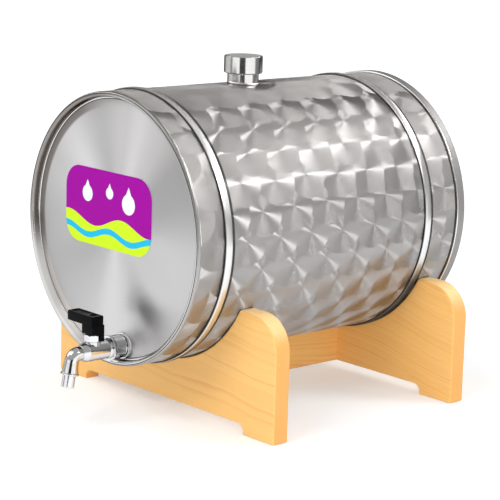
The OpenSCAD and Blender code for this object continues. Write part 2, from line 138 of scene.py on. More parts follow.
class BarrelSettings(PropertyGroup):
    """Sizes and finishes of the steel barrel."""

    sheet: length("Sheet", "Thickness of the sheet steel", 1.0 * MM)
    hoop_w: length("Hoop width", "Width of a pressed hoop", 10.0 * MM)
    hoop_h: length("Hoop height", "Height of a pressed hoop above the shell", 2.4 * MM)
    front_hoop: length("Front hoop", "Middle of the front hoop, behind the front rim", 41.0 * MM)
    rear_hoop: length("Rear hoop", "Middle of the rear hoop, ahead of the rear end", 59.0 * MM)
    crease: length("Crease depth", "Depth of the crease at a hoop's foot", 0.5 * MM)
    rim_w: length("Rim width", "Radial width of the rolled front rim", 6.0 * MM)
    band_w: length("Rear band width", "Width of the folded rear band", 12.0 * MM)
    band_h: length("Rear band height", "Height of the folded rear band above the shell", 2.4 * MM)
    edge: length("Edge", "Rounding of the folded sheet", 0.9 * MM)
    seam_r: length("Seam", "Radius of the seam bead between the front disc and its wall", 0.9 * MM)
    spot_r: length("Spot radius", "Radius of one ground spot", 26.5 * MM)
    spot_step: length("Spot step", "Distance between ground spots along the barrel", 45.5 * MM)
    spot_rows: IntProperty(name="Spot rows", description="Rows of ground spots around the barrel", default=30)
    spot_shift: turn("Spot shift", "Turn of the first row of ground spots from the top", math.radians(4.7))
    buffed_r: length("Buffed patch", "Radius of the buffed patch around the filler", 44.0 * MM)
    calm_half: turn("Calm top", "Half angle of the calmer strip along the top", math.radians(44.0))
    spot_stray: length("Spot stray", "Stray of a ground spot from its place", 2.2 * MM)
    turned_colour: colour("Ground steel", "Colour of the ground shell", (0.445, 0.43, 0.42))
    disc_colour: colour("Disc steel", "Colour of the end discs", (0.675, 0.66, 0.655))
    polished_colour: colour("Polished steel", "Colour of hoops, neck and cap", (0.88, 0.87, 0.86))
    rim_colour: colour("Rim steel", "Colour of the front rim", (0.66, 0.645, 0.63))
    back_colour: colour("Rim back", "Colour of the front rim's outer side", (0.48, 0.47, 0.46))
    band_colour: colour("Band steel", "Colour of the rear band", (0.34, 0.33, 0.325))
    limb_colour: colour("Steel limb", "Tint of bright metal where it turns away", (0.12, 0.12, 0.12))
    # Painted shade on the upper left of the rims, with its painted reflection in a band on the front disc
    painted_shade_half: turn("Tarnish spread", "Half angle of the rims' tarnished length", math.radians(48.0))
    painted_shade_colour: colour("Tarnish colour", "Colour of the tarnished length of the rims", (0.25, 0.22, 0.20))
    # Painted light in a band on the lower left of the front disc
    painted_light_colour: colour("Paled steel", "Colour of the pale length of the front disc", (0.95, 0.88, 0.83))
    painted_light_turn: turn("Pale place", "Middle of the pale length, left of the top", math.radians(136.0))
    painted_light_half: turn("Pale spread", "Half angle of the pale length", math.radians(24.0))
    # Painted light on the lower left of the front rim
    painted_rim_light_colour: colour("Satin steel", "Colour of the satin length of the front rim", (0.80, 0.79, 0.78))
    painted_rim_light_turn: turn("Satin place", "Middle of the satin length, left of the top", math.radians(132.0))
    painted_rim_light_half: turn("Satin spread", "Half angle of the satin length", math.radians(30.0))
    turned_limb: colour("Turned limb", "Tint of the neck and cap where they turn away", (0.62, 0.62, 0.62))
    # Painted shade in the creases at the hoops' feet, in the front disc's corner and along the front rim's
    # outer side, and painted shadow on the rear hoop in its cradle
    painted_crease_shade: colour("Crease colour", "Colour of the creases beside hoops and rims", (0.05, 0.045, 0.04))


class TapSettings(PropertyGroup):
    """Sizes and finishes of the tap, its lever and the filler."""

    edge: length("Edge", "Rounding of the turned edges", 0.5 * MM)
    flange_t: length("Flange", "Thickness of the flange washer", 2.0 * MM)
    collar_d: length("Collar", "Diameter of the collar", 25.5 * MM)
    shoulder_t: length("Shoulder", "Thickness of the ring at the front of the collar", 2.0 * MM)
    body_d: length("Body", "Diameter of the body", 20.6 * MM)
    body_l: length("Body length", "Length of the straight part of the body", 29.0 * MM)
    boss_d: length("Boss", "Diameter of the boss under the gland nut", 16.0 * MM)
    elbow_d: length("Elbow", "Diameter of the elbow", 15.0 * MM)
    elbow_start: length("Elbow start", "Length of the elbow's straight start", 2.0 * MM)
    elbow_r: length("Elbow radius", "Bend radius of the elbow's middle line", 9.0 * MM)
    spout_lean: turn("Spout lean", "Lean of the spout towards the front", math.radians(10.5))
    spout_l: length("Spout", "Length of the spout below the elbow", 12.5 * MM)
    spout_end_d: length("Spout end", "Diameter at the lower end of the spout", 17.6 * MM)
    lip_d: length("Lip", "Diameter of the spout's lip", 19.6 * MM)
    lip_t: length("Lip thickness", "Thickness of the spout's lip", 1.8 * MM)
    nozzle_d: length("Nozzle", "Outer diameter of the nozzle", 13.6 * MM)
    nozzle_l: length("Nozzle length", "Length of the nozzle below the lip", 13.5 * MM)
    nozzle_wall: length("Nozzle wall", "Wall of the nozzle", 2.0 * MM)
    hub_r: length("Hub corner", "Rounding of the upright corners of the lever and its hub", 2.0 * MM)
    hub_w: length("Hub", "Length of the lever's hub", 21.0 * MM)
    hub_lap: length("Hub lap", "Height by which the hub runs up into the lever", 1.3 * MM)
    lever_w: length("Lever width", "Width of the lever and its hub", 16.0 * MM)
    lever_back: length("Lever back", "Reach of the lever behind the stem axis", 8.5 * MM)
    lever_t: length("Lever thickness", "Thickness of the lever", 10.6 * MM)
    lever_edge: length("Lever edge", "Rounding of the moulded edges", 1.1 * MM)
    lug_from: length("Lug", "Start of the stop lug behind the stem axis", 1.0 * MM)
    panel_t: length("Panel", "Depth of the panel sunk in the lever's top", 1.0 * MM)
    panel_border: length("Panel border", "Border around the sunk panel", 3.0 * MM)
    screw_head: length("Screw head", "Height of the lever screw's head", 2.6 * MM)
    screw_shank: length("Screw shank", "Diameter of the lever screw's shank", 3.0 * MM)
    neck_wall: length("Neck wall", "Wall of the filler neck", 2.6 * MM)
    neck_h: length("Neck foot", "Height of the neck's plain foot above the shell", 10.5 * MM)
    thread_d: length("Neck thread", "Diameter of the neck's threaded end", 33.2 * MM)
    thread_pitch: length("Thread pitch", "Rise of the filler thread in one turn", 2.309 * MM)
    thread_depth: length("Thread depth", "Depth of the filler thread's groove", 1.1 * MM)
    weld_w: length("Weld width", "Width of the weld bead around the neck", 2.2 * MM)
    cap_top: length("Cap top", "Thickness of the cap's top", 4.0 * MM)
    cap_chamfer: length("Cap chamfer", "Chamfer around the cap's edges", 0.8 * MM)
    chrome_colour: colour("Chrome", "Colour of the chrome plate", (0.80, 0.80, 0.81))
    limb_colour: colour("Chrome limb", "Tint of the chrome where it turns away", (0.08, 0.08, 0.08))
    plastic_colour: colour("Lever plastic", "Colour of the lever", (0.004, 0.004, 0.0045))


class StandSettings(PropertyGroup):
    """Sizes and finishes of the pine cradle stand."""

    edge: length("Edge", "Rounding of the board edges", 2.2 * MM)
    foot_r: length("Foot corner", "Corner radius at the foot of a board", 3.2 * MM)
    horn_r: length("Horn corner", "Corner radius of the horns", 38.0 * MM)
    arch_h: length("Arch height", "Height of the arch between the feet", 11.0 * MM)
    arch_r: length("Arch corner", "Corner radius of the arch", 9.0 * MM)
    foot_w: length("Foot width", "Width of a foot", 50.0 * MM)
    ring_step: length("Year rings", "Distance between year rings", 7.5 * MM)
    early_colour: colour("Early wood", "Colour of the pale early wood", (0.99, 0.58, 0.19))
    late_colour: colour("Late wood", "Colour of the darker late wood", (0.83, 0.375, 0.09))
    # Painted light: faces of the boards that look upwards are made lighter
    painted_top_light_colour: colour("Sanded wood", "Colour of the sanded upper edges", (1.0, 0.74, 0.38))
    # Painted shadow in a thin line along the boards where the barrel lies in them
    contact_shadow_colour: colour("Rubbed wood", "Colour of the rubbed edge along the barrel", (0.05, 0.03, 0.018))
    end_colour: colour("End grain", "Colour of the end grain", (0.78, 0.365, 0.092))


class LabelSettings(PropertyGroup):
    """Corner and colours of the printed sticker."""

    corner: length("Corner", "Corner radius of the sticker", 24.0 * MM)
    ground: colour("Ground", "Colour of the sticker's ground", (0.35, 0.001, 0.33))
    wave: colour("Wave", "Colour of the broad wave", (0.62, 0.90, 0.02))
    drop: colour("Drop", "Colour of the drops", (0.85, 0.90, 0.92))
    stripe: colour("Stripe", "Colour of the narrow wave", (0.02, 0.50, 0.78))


class StageSettings(PropertyGroup):
    """Camera, floor and studio walls."""

    camera_place: FloatVectorProperty(
        name="Camera", description="Place of the camera", default=(1.60557, -1.39104, 0.60103), subtype="XYZ"
    )
    camera_yaw: turn("Yaw", "Turn of the camera to the left of straight ahead", 0.842872)
    camera_pitch: turn("Pitch", "Tilt of the camera below the horizon", 0.201406)
    camera_roll: turn("Roll", "Roll of the camera", 0.028569)
    camera_lens: FloatProperty(name="Lens", description="Focal length in millimetres", default=138.847)
    floor_size: length("Floor width", "Width of the floor", 40.0)
    floor_colour: colour("Floor colour", "Colour of the floor", (0.85, 0.872, 0.90))
    wall_distance: length("Wall distance", "Distance of the studio walls in reflections", 1.35)
    wall_colour: colour("Walls", "Grey of the studio walls in reflections", (0.42, 0.416, 0.412))


# Shapes

def standing(origin, along, up=UP):
    """Placement whose local Z runs along a direction, with local Y as near to up as it can be."""
    z = along.normalized()
    x = up.cross(z).normalized()
    y = z.cross(x)
    turned = Matrix((x, y, z)).transposed().to_4x4()
    return Matrix.Translation(origin) @ turned


BARREL_PLACE = standing(Vector((0, FRONT_Y, AXIS_Z)), BACK)
NECK_PLACE = standing(NECK_FOOT, UP, BACK)
STEM_PLACE = Matrix.Translation((STEM_AXIS.x, STEM_AXIS.y, 0))


def arc(centre, radius, start, end, steps):
    """Points on an arc, with angles in degrees."""
    points = []
    for i in range(steps + 1):
        angle = math.radians(start + (end - start) * i / steps)
        points.append((centre[0] + radius * math.cos(angle), centre[1] + radius * math.sin(angle)))
    return points


def rounded(corners, steps=5, most=0.45, brace_share=0.04):
    """Line through (x, y, radius) corners, each rounded and braced by nearby points, but for its ends.

    A rounding takes at most a share of the shorter side beside it, and so does a brace.
    """
    outline = []
    for i, (x, y, radius) in enumerate(corners):
        if radius < TINY or i in (0, len(corners) - 1):
            outline.append((x, y))
            continue
        here = Vector((x, y))
        before = Vector(corners[i - 1][:2]) - here
        after = Vector(corners[i + 1][:2]) - here
        shorter = min(before.length, after.length)
        half = before.angle(after) / 2
        reach = min(radius / math.tan(half), most * shorter)
        radius = reach * math.tan(half)
        start = here + before.normalized() * reach
        end = here + after.normalized() * reach
        centre = here + (before.normalized() + after.normalized()).normalized() * (radius / math.sin(half))
        brace = min(0.3 * radius, brace_share * shorter)
        outline.append(tuple(start + before.normalized() * brace))
        first = start - centre
        swing = first.angle_signed(end - centre)
        for k in range(steps + 1):
            spoke = first.copy()
            spoke.rotate(Matrix.Rotation(-swing * k / steps, 2))
            outline.append(tuple(centre + spoke))
        outline.append(tuple(end + after.normalized() * brace))
    return outline


def rounded_rectangle(width, height, radius, steps=8):
    """Anticlockwise outline of a rounded rectangle about the origin."""
    w, h = width / 2 - radius, height / 2 - radius
    outline = []
    for x, y, start in ((w, h, 0), (-w, h, 90), (-w, -h, 180), (w, -h, 270)):
        outline += arc((x, y), radius, start, start + 90, steps)
    return outline


def shown(name, bm, materials, sharp=38):
    """Object made from a mesh under construction, smooth but for its sharp edges."""
    bmesh.ops.remove_doubles(bm, verts=bm.verts, dist=SAME_PLACE)
    bmesh.ops.recalc_face_normals(bm, faces=bm.faces)
    mesh = bpy.data.meshes.new(name)
    bm.to_mesh(mesh)
    bm.free()
    mesh.shade_smooth()
    mesh.set_sharp_from_angle(angle=math.radians(sharp))
    for material in materials:
        mesh.materials.append(material)
    piece = bpy.data.objects.new(name, mesh)
    bpy.context.scene.collection.objects.link(piece)
    return piece


def join_rings(bm, lower, upper):
    """Adds the faces between two rings of corners."""
    count = len(lower)
    for i in range(count):
        j = (i + 1) % count
        bm.faces.new((lower[i], lower[j], upper[j], upper[i]))


def lathe_mesh(bm, profile, place, segments, closed=False):
    """Adds a surface turned from (radius, height) points about the local Z of a placement."""
    rings = []
    for radius, height in profile:
        spots = 1 if radius < TINY else segments
        rings.append([
            bm.verts.new(place @ Vector((
                radius * math.cos(2 * math.pi * i / segments),
                radius * math.sin(2 * math.pi * i / segments),
                height,
            )))
            for i in range(spots)
        ])
    pairs = list(zip(rings, rings[1:]))
    if closed:
        pairs.append((rings[-1], rings[0]))
    for low, high in pairs:
        for i in range(segments):
            j = (i + 1) % segments
            corners = [low[i % len(low)], low[j % len(low)], high[j % len(high)], high[i % len(high)]]
            corners = list(dict.fromkeys(corners))
            if len(corners) > 2:
                bm.faces.new(corners)


def lathe(name, profile, place, materials, segments, closed=False):
    """Piece turned from (radius, height) points."""
    bm = bmesh.new()
    lathe_mesh(bm, profile, place, segments, closed)
    return shown(name, bm, materials)


def inset(outline, distance, sharpest=0.35):
    """Anticlockwise outline drawn in by a distance, with a limit for sharp corners."""
    count = len(outline)
    moved = []
    for i in range(count):
        before = (Vector(outline[i]) - Vector(outline[i - 1])).normalized()
        after = (Vector(outline[(i + 1) % count]) - Vector(outline[i])).normalized()
        inward = Vector((-before.y - after.y, before.x + after.x))
        if inward.length < TINY:
            inward = Vector((-after.y, after.x))
        inward.normalize()
        slope = max(sharpest, inward.dot(Vector((-after.y, after.x))))
        moved.append(tuple(Vector(outline[i]) + inward * (distance / slope)))
    return moved


def slab_mesh(bm, outline, low, high, edge, place, steps=5, border=1.25):
    """Adds a plate of an outline between two local heights, its edges rounded and braced by a border."""
    layers = [(edge * border, low)]
    for i in range(steps + 1):
        angle = math.pi / 2 * i / steps
        layers.append((edge * (1 - math.sin(angle)), low + edge * (1 - math.cos(angle))))
    layers += [(drawn, low + high - height) for drawn, height in reversed(layers)]
    rings = []
    for drawn, height in layers:
        rings.append([bm.verts.new(place @ Vector((x, y, height))) for x, y in inset(outline, drawn)])
    for lower, upper in zip(rings, rings[1:]):
        join_rings(bm, lower, upper)
    bm.faces.new(list(reversed(rings[0])))
    bm.faces.new(rings[-1])


def slab(name, outline, low, high, edge, place, materials, steps=5):
    """Piece that is one plate with rounded edges."""
    bm = bmesh.new()
    slab_mesh(bm, outline, low, high, edge, place, steps)
    return shown(name, bm, materials)


def rod_mesh(bm, points, radius, across, segments):
    """Adds a round rod through points that lie in a plane square to a direction."""
    rings = []
    for i, point in enumerate(points):
        ahead = points[min(i + 1, len(points) - 1)] - points[max(i - 1, 0)]
        side = across.cross(ahead).normalized()
        rings.append([
            bm.verts.new(
                point
                + across * (radius * math.cos(2 * math.pi * k / segments))
                + side * (radius * math.sin(2 * math.pi * k / segments))
            )
            for k in range(segments)
        ])
    for here, after in zip(rings, rings[1:]):
        join_rings(bm, here, after)
    bm.faces.new(list(reversed(rings[0])))
    bm.faces.new(rings[-1])


def cut_away(piece, cutter):
    """Takes a cutter's space out of a piece and deletes the cutter."""
    modifier = piece.modifiers.new("cut", "BOOLEAN")
    modifier.operation = "DIFFERENCE"
    modifier.solver = "EXACT"
    modifier.use_self = True
    modifier.object = cutter
    graph = bpy.context.evaluated_depsgraph_get()
    mesh = bpy.data.meshes.new_from_object(piece.evaluated_get(graph))
    piece.modifiers.clear()
    piece.data = mesh
    bpy.data.objects.remove(cutter)


def settle(piece, body, slot, *nodes):
    """Lets a piece ride on a body in place of the construction nodes that it dresses."""
    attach(piece, body)
    if nodes:
        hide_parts(*nodes)


# Finishes

class Number:
    """A number inside a finish, open to plain sums and comparisons."""

    def __init__(self, tree, socket):
        self.tree = tree
        self.socket = socket

    def __add__(self, other):
        return self.tree.math("ADD", self, other)

    def __sub__(self, other):
        return self.tree.math("SUBTRACT", self, other)

    def __rsub__(self, other):
        return self.tree.math("SUBTRACT", other, self)

    def __mul__(self, other):
        return self.tree.math("MULTIPLY", self, other)

    def __truediv__(self, other):
        return self.tree.math("DIVIDE", self, other)

    def __gt__(self, other):
        return self.tree.math("GREATER_THAN", self, other)

    def __lt__(self, other):
        return self.tree.math("LESS_THAN", self, other)

    def __abs__(self):
        return self.tree.math("ABSOLUTE", self)

    __radd__ = __add__
    __rmul__ = __mul__


class Nodes:
    """A node tree in the making."""

    def __init__(self, tree):
        self.nodes = tree.nodes
        self.links = tree.links

    def put(self, socket, value):
        """Links a socket to another, or sets its own value."""
        if isinstance(value, Number):
            value = value.socket
        if isinstance(value, bpy.types.NodeSocket):
            self.links.new(value, socket)
        elif socket.type == "RGBA":
            socket.default_value = (*value, 1)
        else:
            socket.default_value = value

    def node(self, kind, inputs=(), **settings):
        """Adds a node with its settings and inputs."""
        node = self.nodes.new("ShaderNode" + kind)
        for name, value in settings.items():
            setattr(node, name, value)
        for key, value in dict(inputs).items():
            self.put(node.inputs[key], value)
        return node

    def number(self, node, output=0):
        """A node's output as a number."""
        return Number(self, node.outputs[output])

    def math(self, operation, *values):
        """Number worked out from others."""
        return self.number(self.node("Math", enumerate(values), operation=operation))

    def vector(self, operation, *values):
        """Vector worked out from others."""
        return self.node("VectorMath", enumerate(values), operation=operation).outputs[0]

    def measure(self, operation, *vectors):
        """Number worked out from vectors."""
        return self.number(self.node("VectorMath", enumerate(vectors), operation=operation), "Value")

    def joined(self, x, y, z):
        """Vector with three given parts."""
        return self.node("CombineXYZ", {0: x, 1: y, 2: z}).outputs[0]

    def parts(self, vector):
        """The three parts of a vector."""
        node = self.node("SeparateXYZ", {0: vector})
        return [self.number(node, part) for part in range(3)]

    def place(self, origin=(0, 0, 0)):
        """Place on the piece from an origin, in metres."""
        return self.vector("SUBTRACT", self.node("TexCoord").outputs["Object"], origin)

    def reach(self, x, y):
        """Distance that two parts of a place give."""
        return self.math("SQRT", x * x + y * y)

    def mix(self, factor, first, second):
        """Colour between two."""
        return self.node("Mix", {0: factor, 6: first, 7: second}, data_type="RGBA").outputs[2]

    def tint(self, shade, tone):
        """Colour or vector scaled by a number."""
        return self.node("VectorMath", {0: shade, "Scale": tone}, operation="SCALE").outputs[0]

    def choose(self, factor, first, second):
        """Vector between two."""
        return self.node("Mix", {0: factor, 4: first, 5: second}, data_type="VECTOR").outputs[1]

    def span(self, value, low, high, to_low=0.0, to_high=1.0, kind="LINEAR"):
        """Number carried from one span to another, without leaving it."""
        inputs = {0: value, 1: low, 2: high, 3: to_low, 4: to_high}
        return self.number(self.node("MapRange", inputs, interpolation_type=kind))

    def fade(self, value, start, end, low=0.0, high=1.0):
        """Number carried from one span to another, with soft ends."""
        return self.span(value, start, end, low, high, "SMOOTHSTEP")

    def noise(self, vector, scale, detail=2.0, rough=0.5):
        """Smooth noise from 0 to 1."""
        inputs = {"Vector": vector, "Scale": scale, "Detail": detail, "Roughness": rough}
        return self.number(self.node("TexNoise", inputs))

    def noise_along(self, place, detail, scale=1.0):
        """Smooth noise from 0 to 1 along one number."""
        inputs = {"W": place, "Scale": scale, "Detail": detail}
        return self.number(self.node("TexNoise", inputs, noise_dimensions="1D"))

    def ramp(self, bearing, stops):
        """Grey level at a bearing, read from stops of degrees and levels."""
        node = self.node("ValToRGB", {0: self.span(bearing, -180.0, 180.0)})
        node.color_ramp.interpolation = "EASE"
        elements = node.color_ramp.elements
        while len(elements) < len(stops):
            elements.new(0.5)
        for element, (degrees, level) in zip(elements, stops):
            element.position = (degrees + 180) / 360
            element.color = (level, level, level, 1)
        return node.outputs[0]

    def seen(self):
        """1 for the rays that show a background: straight, glossy and through glass."""
        rays = self.node("LightPath").outputs
        either = self.math("MAXIMUM", rays["Is Camera Ray"], rays["Is Glossy Ray"])
        return self.math("MAXIMUM", either, rays["Is Transmission Ray"])


class Finish(Nodes):
    """A material in the making, around one Principled shader."""

    def __init__(self, name, **sockets):
        self.material = bpy.data.materials.new(name)
        self.material.use_nodes = True
        super().__init__(self.material.node_tree)
        self.shader = self.nodes["Principled BSDF"]
        self.use(**sockets)

    def use(self, **sockets):
        """Links or sets sockets of the shader."""
        for socket, value in sockets.items():
            self.put(self.shader.inputs[socket.replace("_", " ")], value)
        return self.material

    def bump(self, height, depth, strength):
        """Relief of a depth in metres on the shader."""
        inputs = {"Height": height, "Distance": depth, "Strength": strength}
        self.use(Normal=self.node("Bump", inputs).outputs[0])

    def show(self, node):
        """Shows another shader's node as the surface."""
        self.put(self.nodes["Material Output"].inputs["Surface"], node.outputs[0])
        return self.material


def ground_spots(finish, barrel):
    """Place in the uppermost of the ground spots that overlap at a point, with the spot's own number.

    Rows run along the barrel and stand half a step apart. A spot lies over the next one back and over
    the row below it. The angle from the top comes with it.
    """
    row_height = math.pi * 2 * shell_radius(barrel) / barrel.spot_rows
    x, y, z = finish.parts(finish.place((0, FRONT_Y, AXIS_Z)))
    around = finish.math("ARCTAN2", x, z)
    row_place = (around - barrel.spot_shift) * (barrel.spot_rows / (2 * math.pi))
    column_place = y / barrel.spot_step
    top = None
    for row_step in (1, 0):
        row = finish.math("FLOOR", row_place) + row_step
        stagger = finish.math("PINGPONG", row, 1) * 0.5
        first = finish.math("FLOOR", column_place - stagger)
        for column_step in (1, 0):
            column = first + stagger + column_step
            chance = finish.node("TexWhiteNoise", {0: finish.joined(column, row, 0)}, noise_dimensions="3D")
            off_middle = finish.vector("SUBTRACT", chance.outputs["Color"], (0.5, 0.5, 0.5))
            along = (column_place - column) * barrel.spot_step
            down = (row_place - row) * row_height
            stray = finish.tint(off_middle, 2 * barrel.spot_stray)
            local = finish.vector("ADD", finish.joined(along, down, 0), stray)
            flat = finish.vector("MULTIPLY", local, (1, 1, 0))
            spot = finish.vector("ADD", flat, finish.joined(0, 0, chance.outputs["Value"]))
            inside = finish.measure("LENGTH", flat) < barrel.spot_r
            top = spot if top is None else finish.choose(inside, top, spot)
    return top, around


def turned_steel(barrel):
    """Steel ground in overlapping round spots, whose fine rings spread the light across them."""
    finish = Finish("turned_steel", Metallic=0.90, Anisotropic=0.94, Specular_IOR_Level=0.0)
    spot, around = ground_spots(finish, barrel)
    along, down, number = finish.parts(spot)
    _, y, z = finish.parts(finish.place())
    cosine, sine = finish.math("COSINE", around), finish.math("SINE", around)
    reach = finish.measure("LENGTH", finish.joined(along, down, 0))
    rings = finish.noise_along(reach * 1600.0 + number * 97.0, 3.0)
    worn_edge = finish.fade(reach, barrel.spot_r * 0.93, barrel.spot_r)
    # Painted highlight: each spot's colour is made lighter and darker by the angle around its middle, in a
    # bow-tie
    painted_bow_tie = finish.math("COSINE", finish.math("ARCTAN2", down, along) * 2.0)
    tone = 0.93 + rings * 0.10 + number * 0.06 + painted_bow_tie * 0.05 - worn_edge * 0.03
    # Painted shade in the creases: dark lines behind each hoop and ahead of the rear band
    for hoop in hoop_places(barrel):
        behind = y - (hoop + barrel.hoop_w / 2)
        tone = tone * (1.0 - (behind > 0.0) * finish.fade(behind, 4.4 * MM, 3.4 * MM, 0.0, 0.8))
    band_front = REAR_Y - barrel.band_w
    tone = tone * (1.0 - finish.fade(y, band_front - 2.6 * MM, band_front - 1.4 * MM, 0.0, 0.85))
    # Buffed patch around the filler, and painted shade and reflection of the neck, in streaks around its foot
    from_neck = finish.vector("MULTIPLY", finish.place(NECK_AXIS), (1, 1, 0))
    neck_reach = finish.measure("LENGTH", from_neck)
    neck_r = box_size("filler_neck").x / 2
    on_top = z > AXIS_Z
    buffed = finish.fade(neck_reach, barrel.buffed_r, barrel.buffed_r * 0.6) * on_top
    neck_shade = finish.fade(neck_reach, neck_r + 13 * MM, neck_r + 2 * MM, 0.0, 0.75) * on_top
    streaks = finish.fade(finish.noise(finish.place(), 70.0), 0.35, 0.62, 0.4, 1.0)
    tone = tone * (1.0 - neck_shade * streaks)
    # Calmer strips along the top and outside the hoops, rubbed around the barrel
    calm = finish.fade(abs(around), barrel.calm_half, barrel.calm_half * 0.3, 0.0, 0.88)
    # Painted shade: the strip along the top is made darker
    tone = tone * (1.0 - calm * 0.2)
    ahead = y < FRONT_Y + barrel.front_hoop
    astern = y > REAR_Y - barrel.rear_hoop
    for strip, share in ((ahead, 0.55), (astern, 0.2)):
        calm = finish.math("MAXIMUM", calm, strip * share)
    outward = finish.vector("NORMALIZE", finish.joined(down * cosine, along, down * sine * -1.0))
    rubbed = finish.choose(calm, outward, finish.joined(cosine, 0.0, sine * -1.0))
    rubbed = finish.choose(buffed, finish.vector("NORMALIZE", rubbed), finish.vector("NORMALIZE", from_neck))
    finish.bump(rings, 0.004 * MM, 0.3)
    return finish.use(
        Base_Color=finish.tint(barrel.turned_colour, tone),
        Roughness=0.46 + rings * 0.10 - buffed * 0.30,
        Tangent=finish.vector("NORMALIZE", rubbed),
    )


def hoop_steel(barrel):
    """Polished steel of a pressed hoop, dark in the creases at its feet and down in the rear cradle."""
    finish = Finish("hoop_steel", Metallic=1.0, Anisotropic=0.9, Specular_Tint=barrel.limb_colour)
    x, y, z = finish.parts(finish.place((0, 0, AXIS_Z)))
    nearest = finish.math("MINIMUM", *(abs(y - hoop) for hoop in hoop_places(barrel)))
    half = barrel.hoop_w / 2
    # Painted shade in the creases at the hoop's feet
    crease = finish.fade(nearest, half - 1.2 * MM, half - 0.2 * MM)
    # Painted shadow on the rear hoop, low down where it sits in the cradle
    from_top = finish.math("DEGREES", abs(finish.math("ARCTAN2", x, z)))
    at_rear = y > (FRONT_Y + REAR_Y) / 2
    sunk = finish.fade(from_top, 106.0, 122.0, 0.0, 0.9) * at_rear
    dark = finish.math("MAXIMUM", crease, sunk)
    scratches = finish.noise(finish.vector("MULTIPLY", finish.place(), (60, 2500, 60)), 1.0, 3.0)
    finish.bump(scratches, 0.01 * MM, 0.5)
    return finish.use(
        Base_Color=finish.mix(dark, barrel.polished_colour, barrel.painted_crease_shade),
        Roughness=finish.span(scratches, 0.3, 0.7, 0.30, 0.38),
        Tangent=(0.0, 1.0, 0.0),
    )


def disc_steel(barrel, name, disc_y):
    """Bright sheet with faint turned rings that spread the light towards the rim."""
    finish = Finish(name, Metallic=1.0, Anisotropic=0.92)
    x, _, z = finish.parts(finish.place((0, disc_y, AXIS_Z)))
    reach = finish.reach(x, z)
    rings = finish.noise_along(reach * 900.0, 4.0)
    cloud = finish.noise(finish.place(), 14.0)
    off_wall = wall_radius(barrel) - 1.9 * MM - reach
    # Painted sheen: the disc colour is made lighter and darker by the angle around it
    sheen = finish.ramp(finish.math("DEGREES", finish.math("ARCTAN2", x, z)), DISC_PAINTED_SHEEN)
    shade = finish.tint(barrel.disc_colour, (0.93 + rings * 0.08 + cloud * 0.05) * sheen)
    # Painted reflection of the shaded rim in a band on the front disc's upper left, and painted light in a
    # band on its lower left
    if disc_y == DISC_Y:
        strip = finish.fade(off_wall, 10.5 * MM, 7.0 * MM, 0.0, 0.88)
        lengths = (
            (barrel.painted_shade_half * 1.3, barrel.painted_shade_half * 0.9, barrel.painted_shade_colour),
            (barrel.painted_light_turn, barrel.painted_light_half, barrel.painted_light_colour),
        )
        for lies, half, shade_there in lengths:
            shade = finish.mix(rim_length(finish, x, z, lies, half) * strip, shade, shade_there)
    # Painted shade in the corner where the disc meets its wall
    crease = finish.fade(abs(off_wall), 1.1 * MM, 0.2 * MM, 0.0, 0.9)
    finish.bump(rings, 0.003 * MM, 0.3)
    return finish.use(
        Base_Color=finish.mix(crease, shade, barrel.painted_crease_shade),
        Roughness=0.30 + rings * 0.10,
        Tangent=finish.vector("NORMALIZE", finish.joined(x, 0.0, z)),
    )


def rim_length(finish, x, z, lies, half, soft=math.radians(12)):
    """1 on a length of the front rim, which lies at an angle to the left of the top, and 0 elsewhere."""
    bearing = finish.math("ARCTAN2", x * -1.0, z)
    return finish.fade(abs(bearing - lies), half + soft, half - soft)


def rim_steel(name, shade, limb, painted_rim_settings=None, rough=0.13, metallic=1.0):
    """Polished sheet of the rims, rolled and rubbed along its length, and worn where settings are given."""
    finish = Finish(name, Metallic=metallic, Specular_Tint=limb)
    x, y, z = finish.parts(finish.place((0, 0, AXIS_Z)))
    along_rim = finish.joined(finish.reach(x, z) * 2500.0, y * 2500.0, finish.math("ARCTAN2", x, z))
    scratches = finish.noise(along_rim, 1.0, 3.0)
    smears = finish.noise(finish.place(), 35.0, 3.0)
    finish.bump(scratches, 0.004 * MM, 0.4)
    if painted_rim_settings:
        # Painted shade on the rim's upper left, and painted light on its lower left, where it is also made
        # less metallic so that the lamps light it
        painted_rim_shade = rim_length(finish, x, z, painted_rim_settings.painted_shade_half, painted_rim_settings.painted_shade_half)
        shade = finish.mix(painted_rim_shade * 0.85, shade, painted_rim_settings.painted_shade_colour)
        painted_rim_light = rim_length(finish, x, z, painted_rim_settings.painted_rim_light_turn, painted_rim_settings.painted_rim_light_half)
        shade = finish.mix(painted_rim_light, shade, painted_rim_settings.painted_rim_light_colour)
        finish.use(Metallic=1.0 - painted_rim_light * 0.6)
    return finish.use(Base_Color=finish.tint(shade, 0.90 + scratches * 0.14), Roughness=rough + smears * 0.09)


def polished_steel(barrel, name, axis):
    """Turned and polished steel with fine rings about an upright axis."""
    finish = Finish(name, Metallic=1.0, Anisotropic=0.4, Specular_Tint=barrel.turned_limb)
    x, y, z = finish.parts(finish.place(axis))
    rings = finish.noise(finish.joined(finish.reach(x, y) * 1800.0, 0.0, z * 1400.0), 1.0, 3.0)
    smears = finish.noise(finish.place(), 90.0, 3.0)
    finish.bump(rings, 0.006 * MM, 0.4)
    return finish.use(
        Base_Color=finish.tint(barrel.polished_colour, 0.92 + rings * 0.12),
        Roughness=finish.span(rings, 0.3, 0.7, 0.09, 0.14) + smears * 0.04,
        Tangent=finish.vector("NORMALIZE", finish.joined(0.0, 0.0, 1.0)),
    )


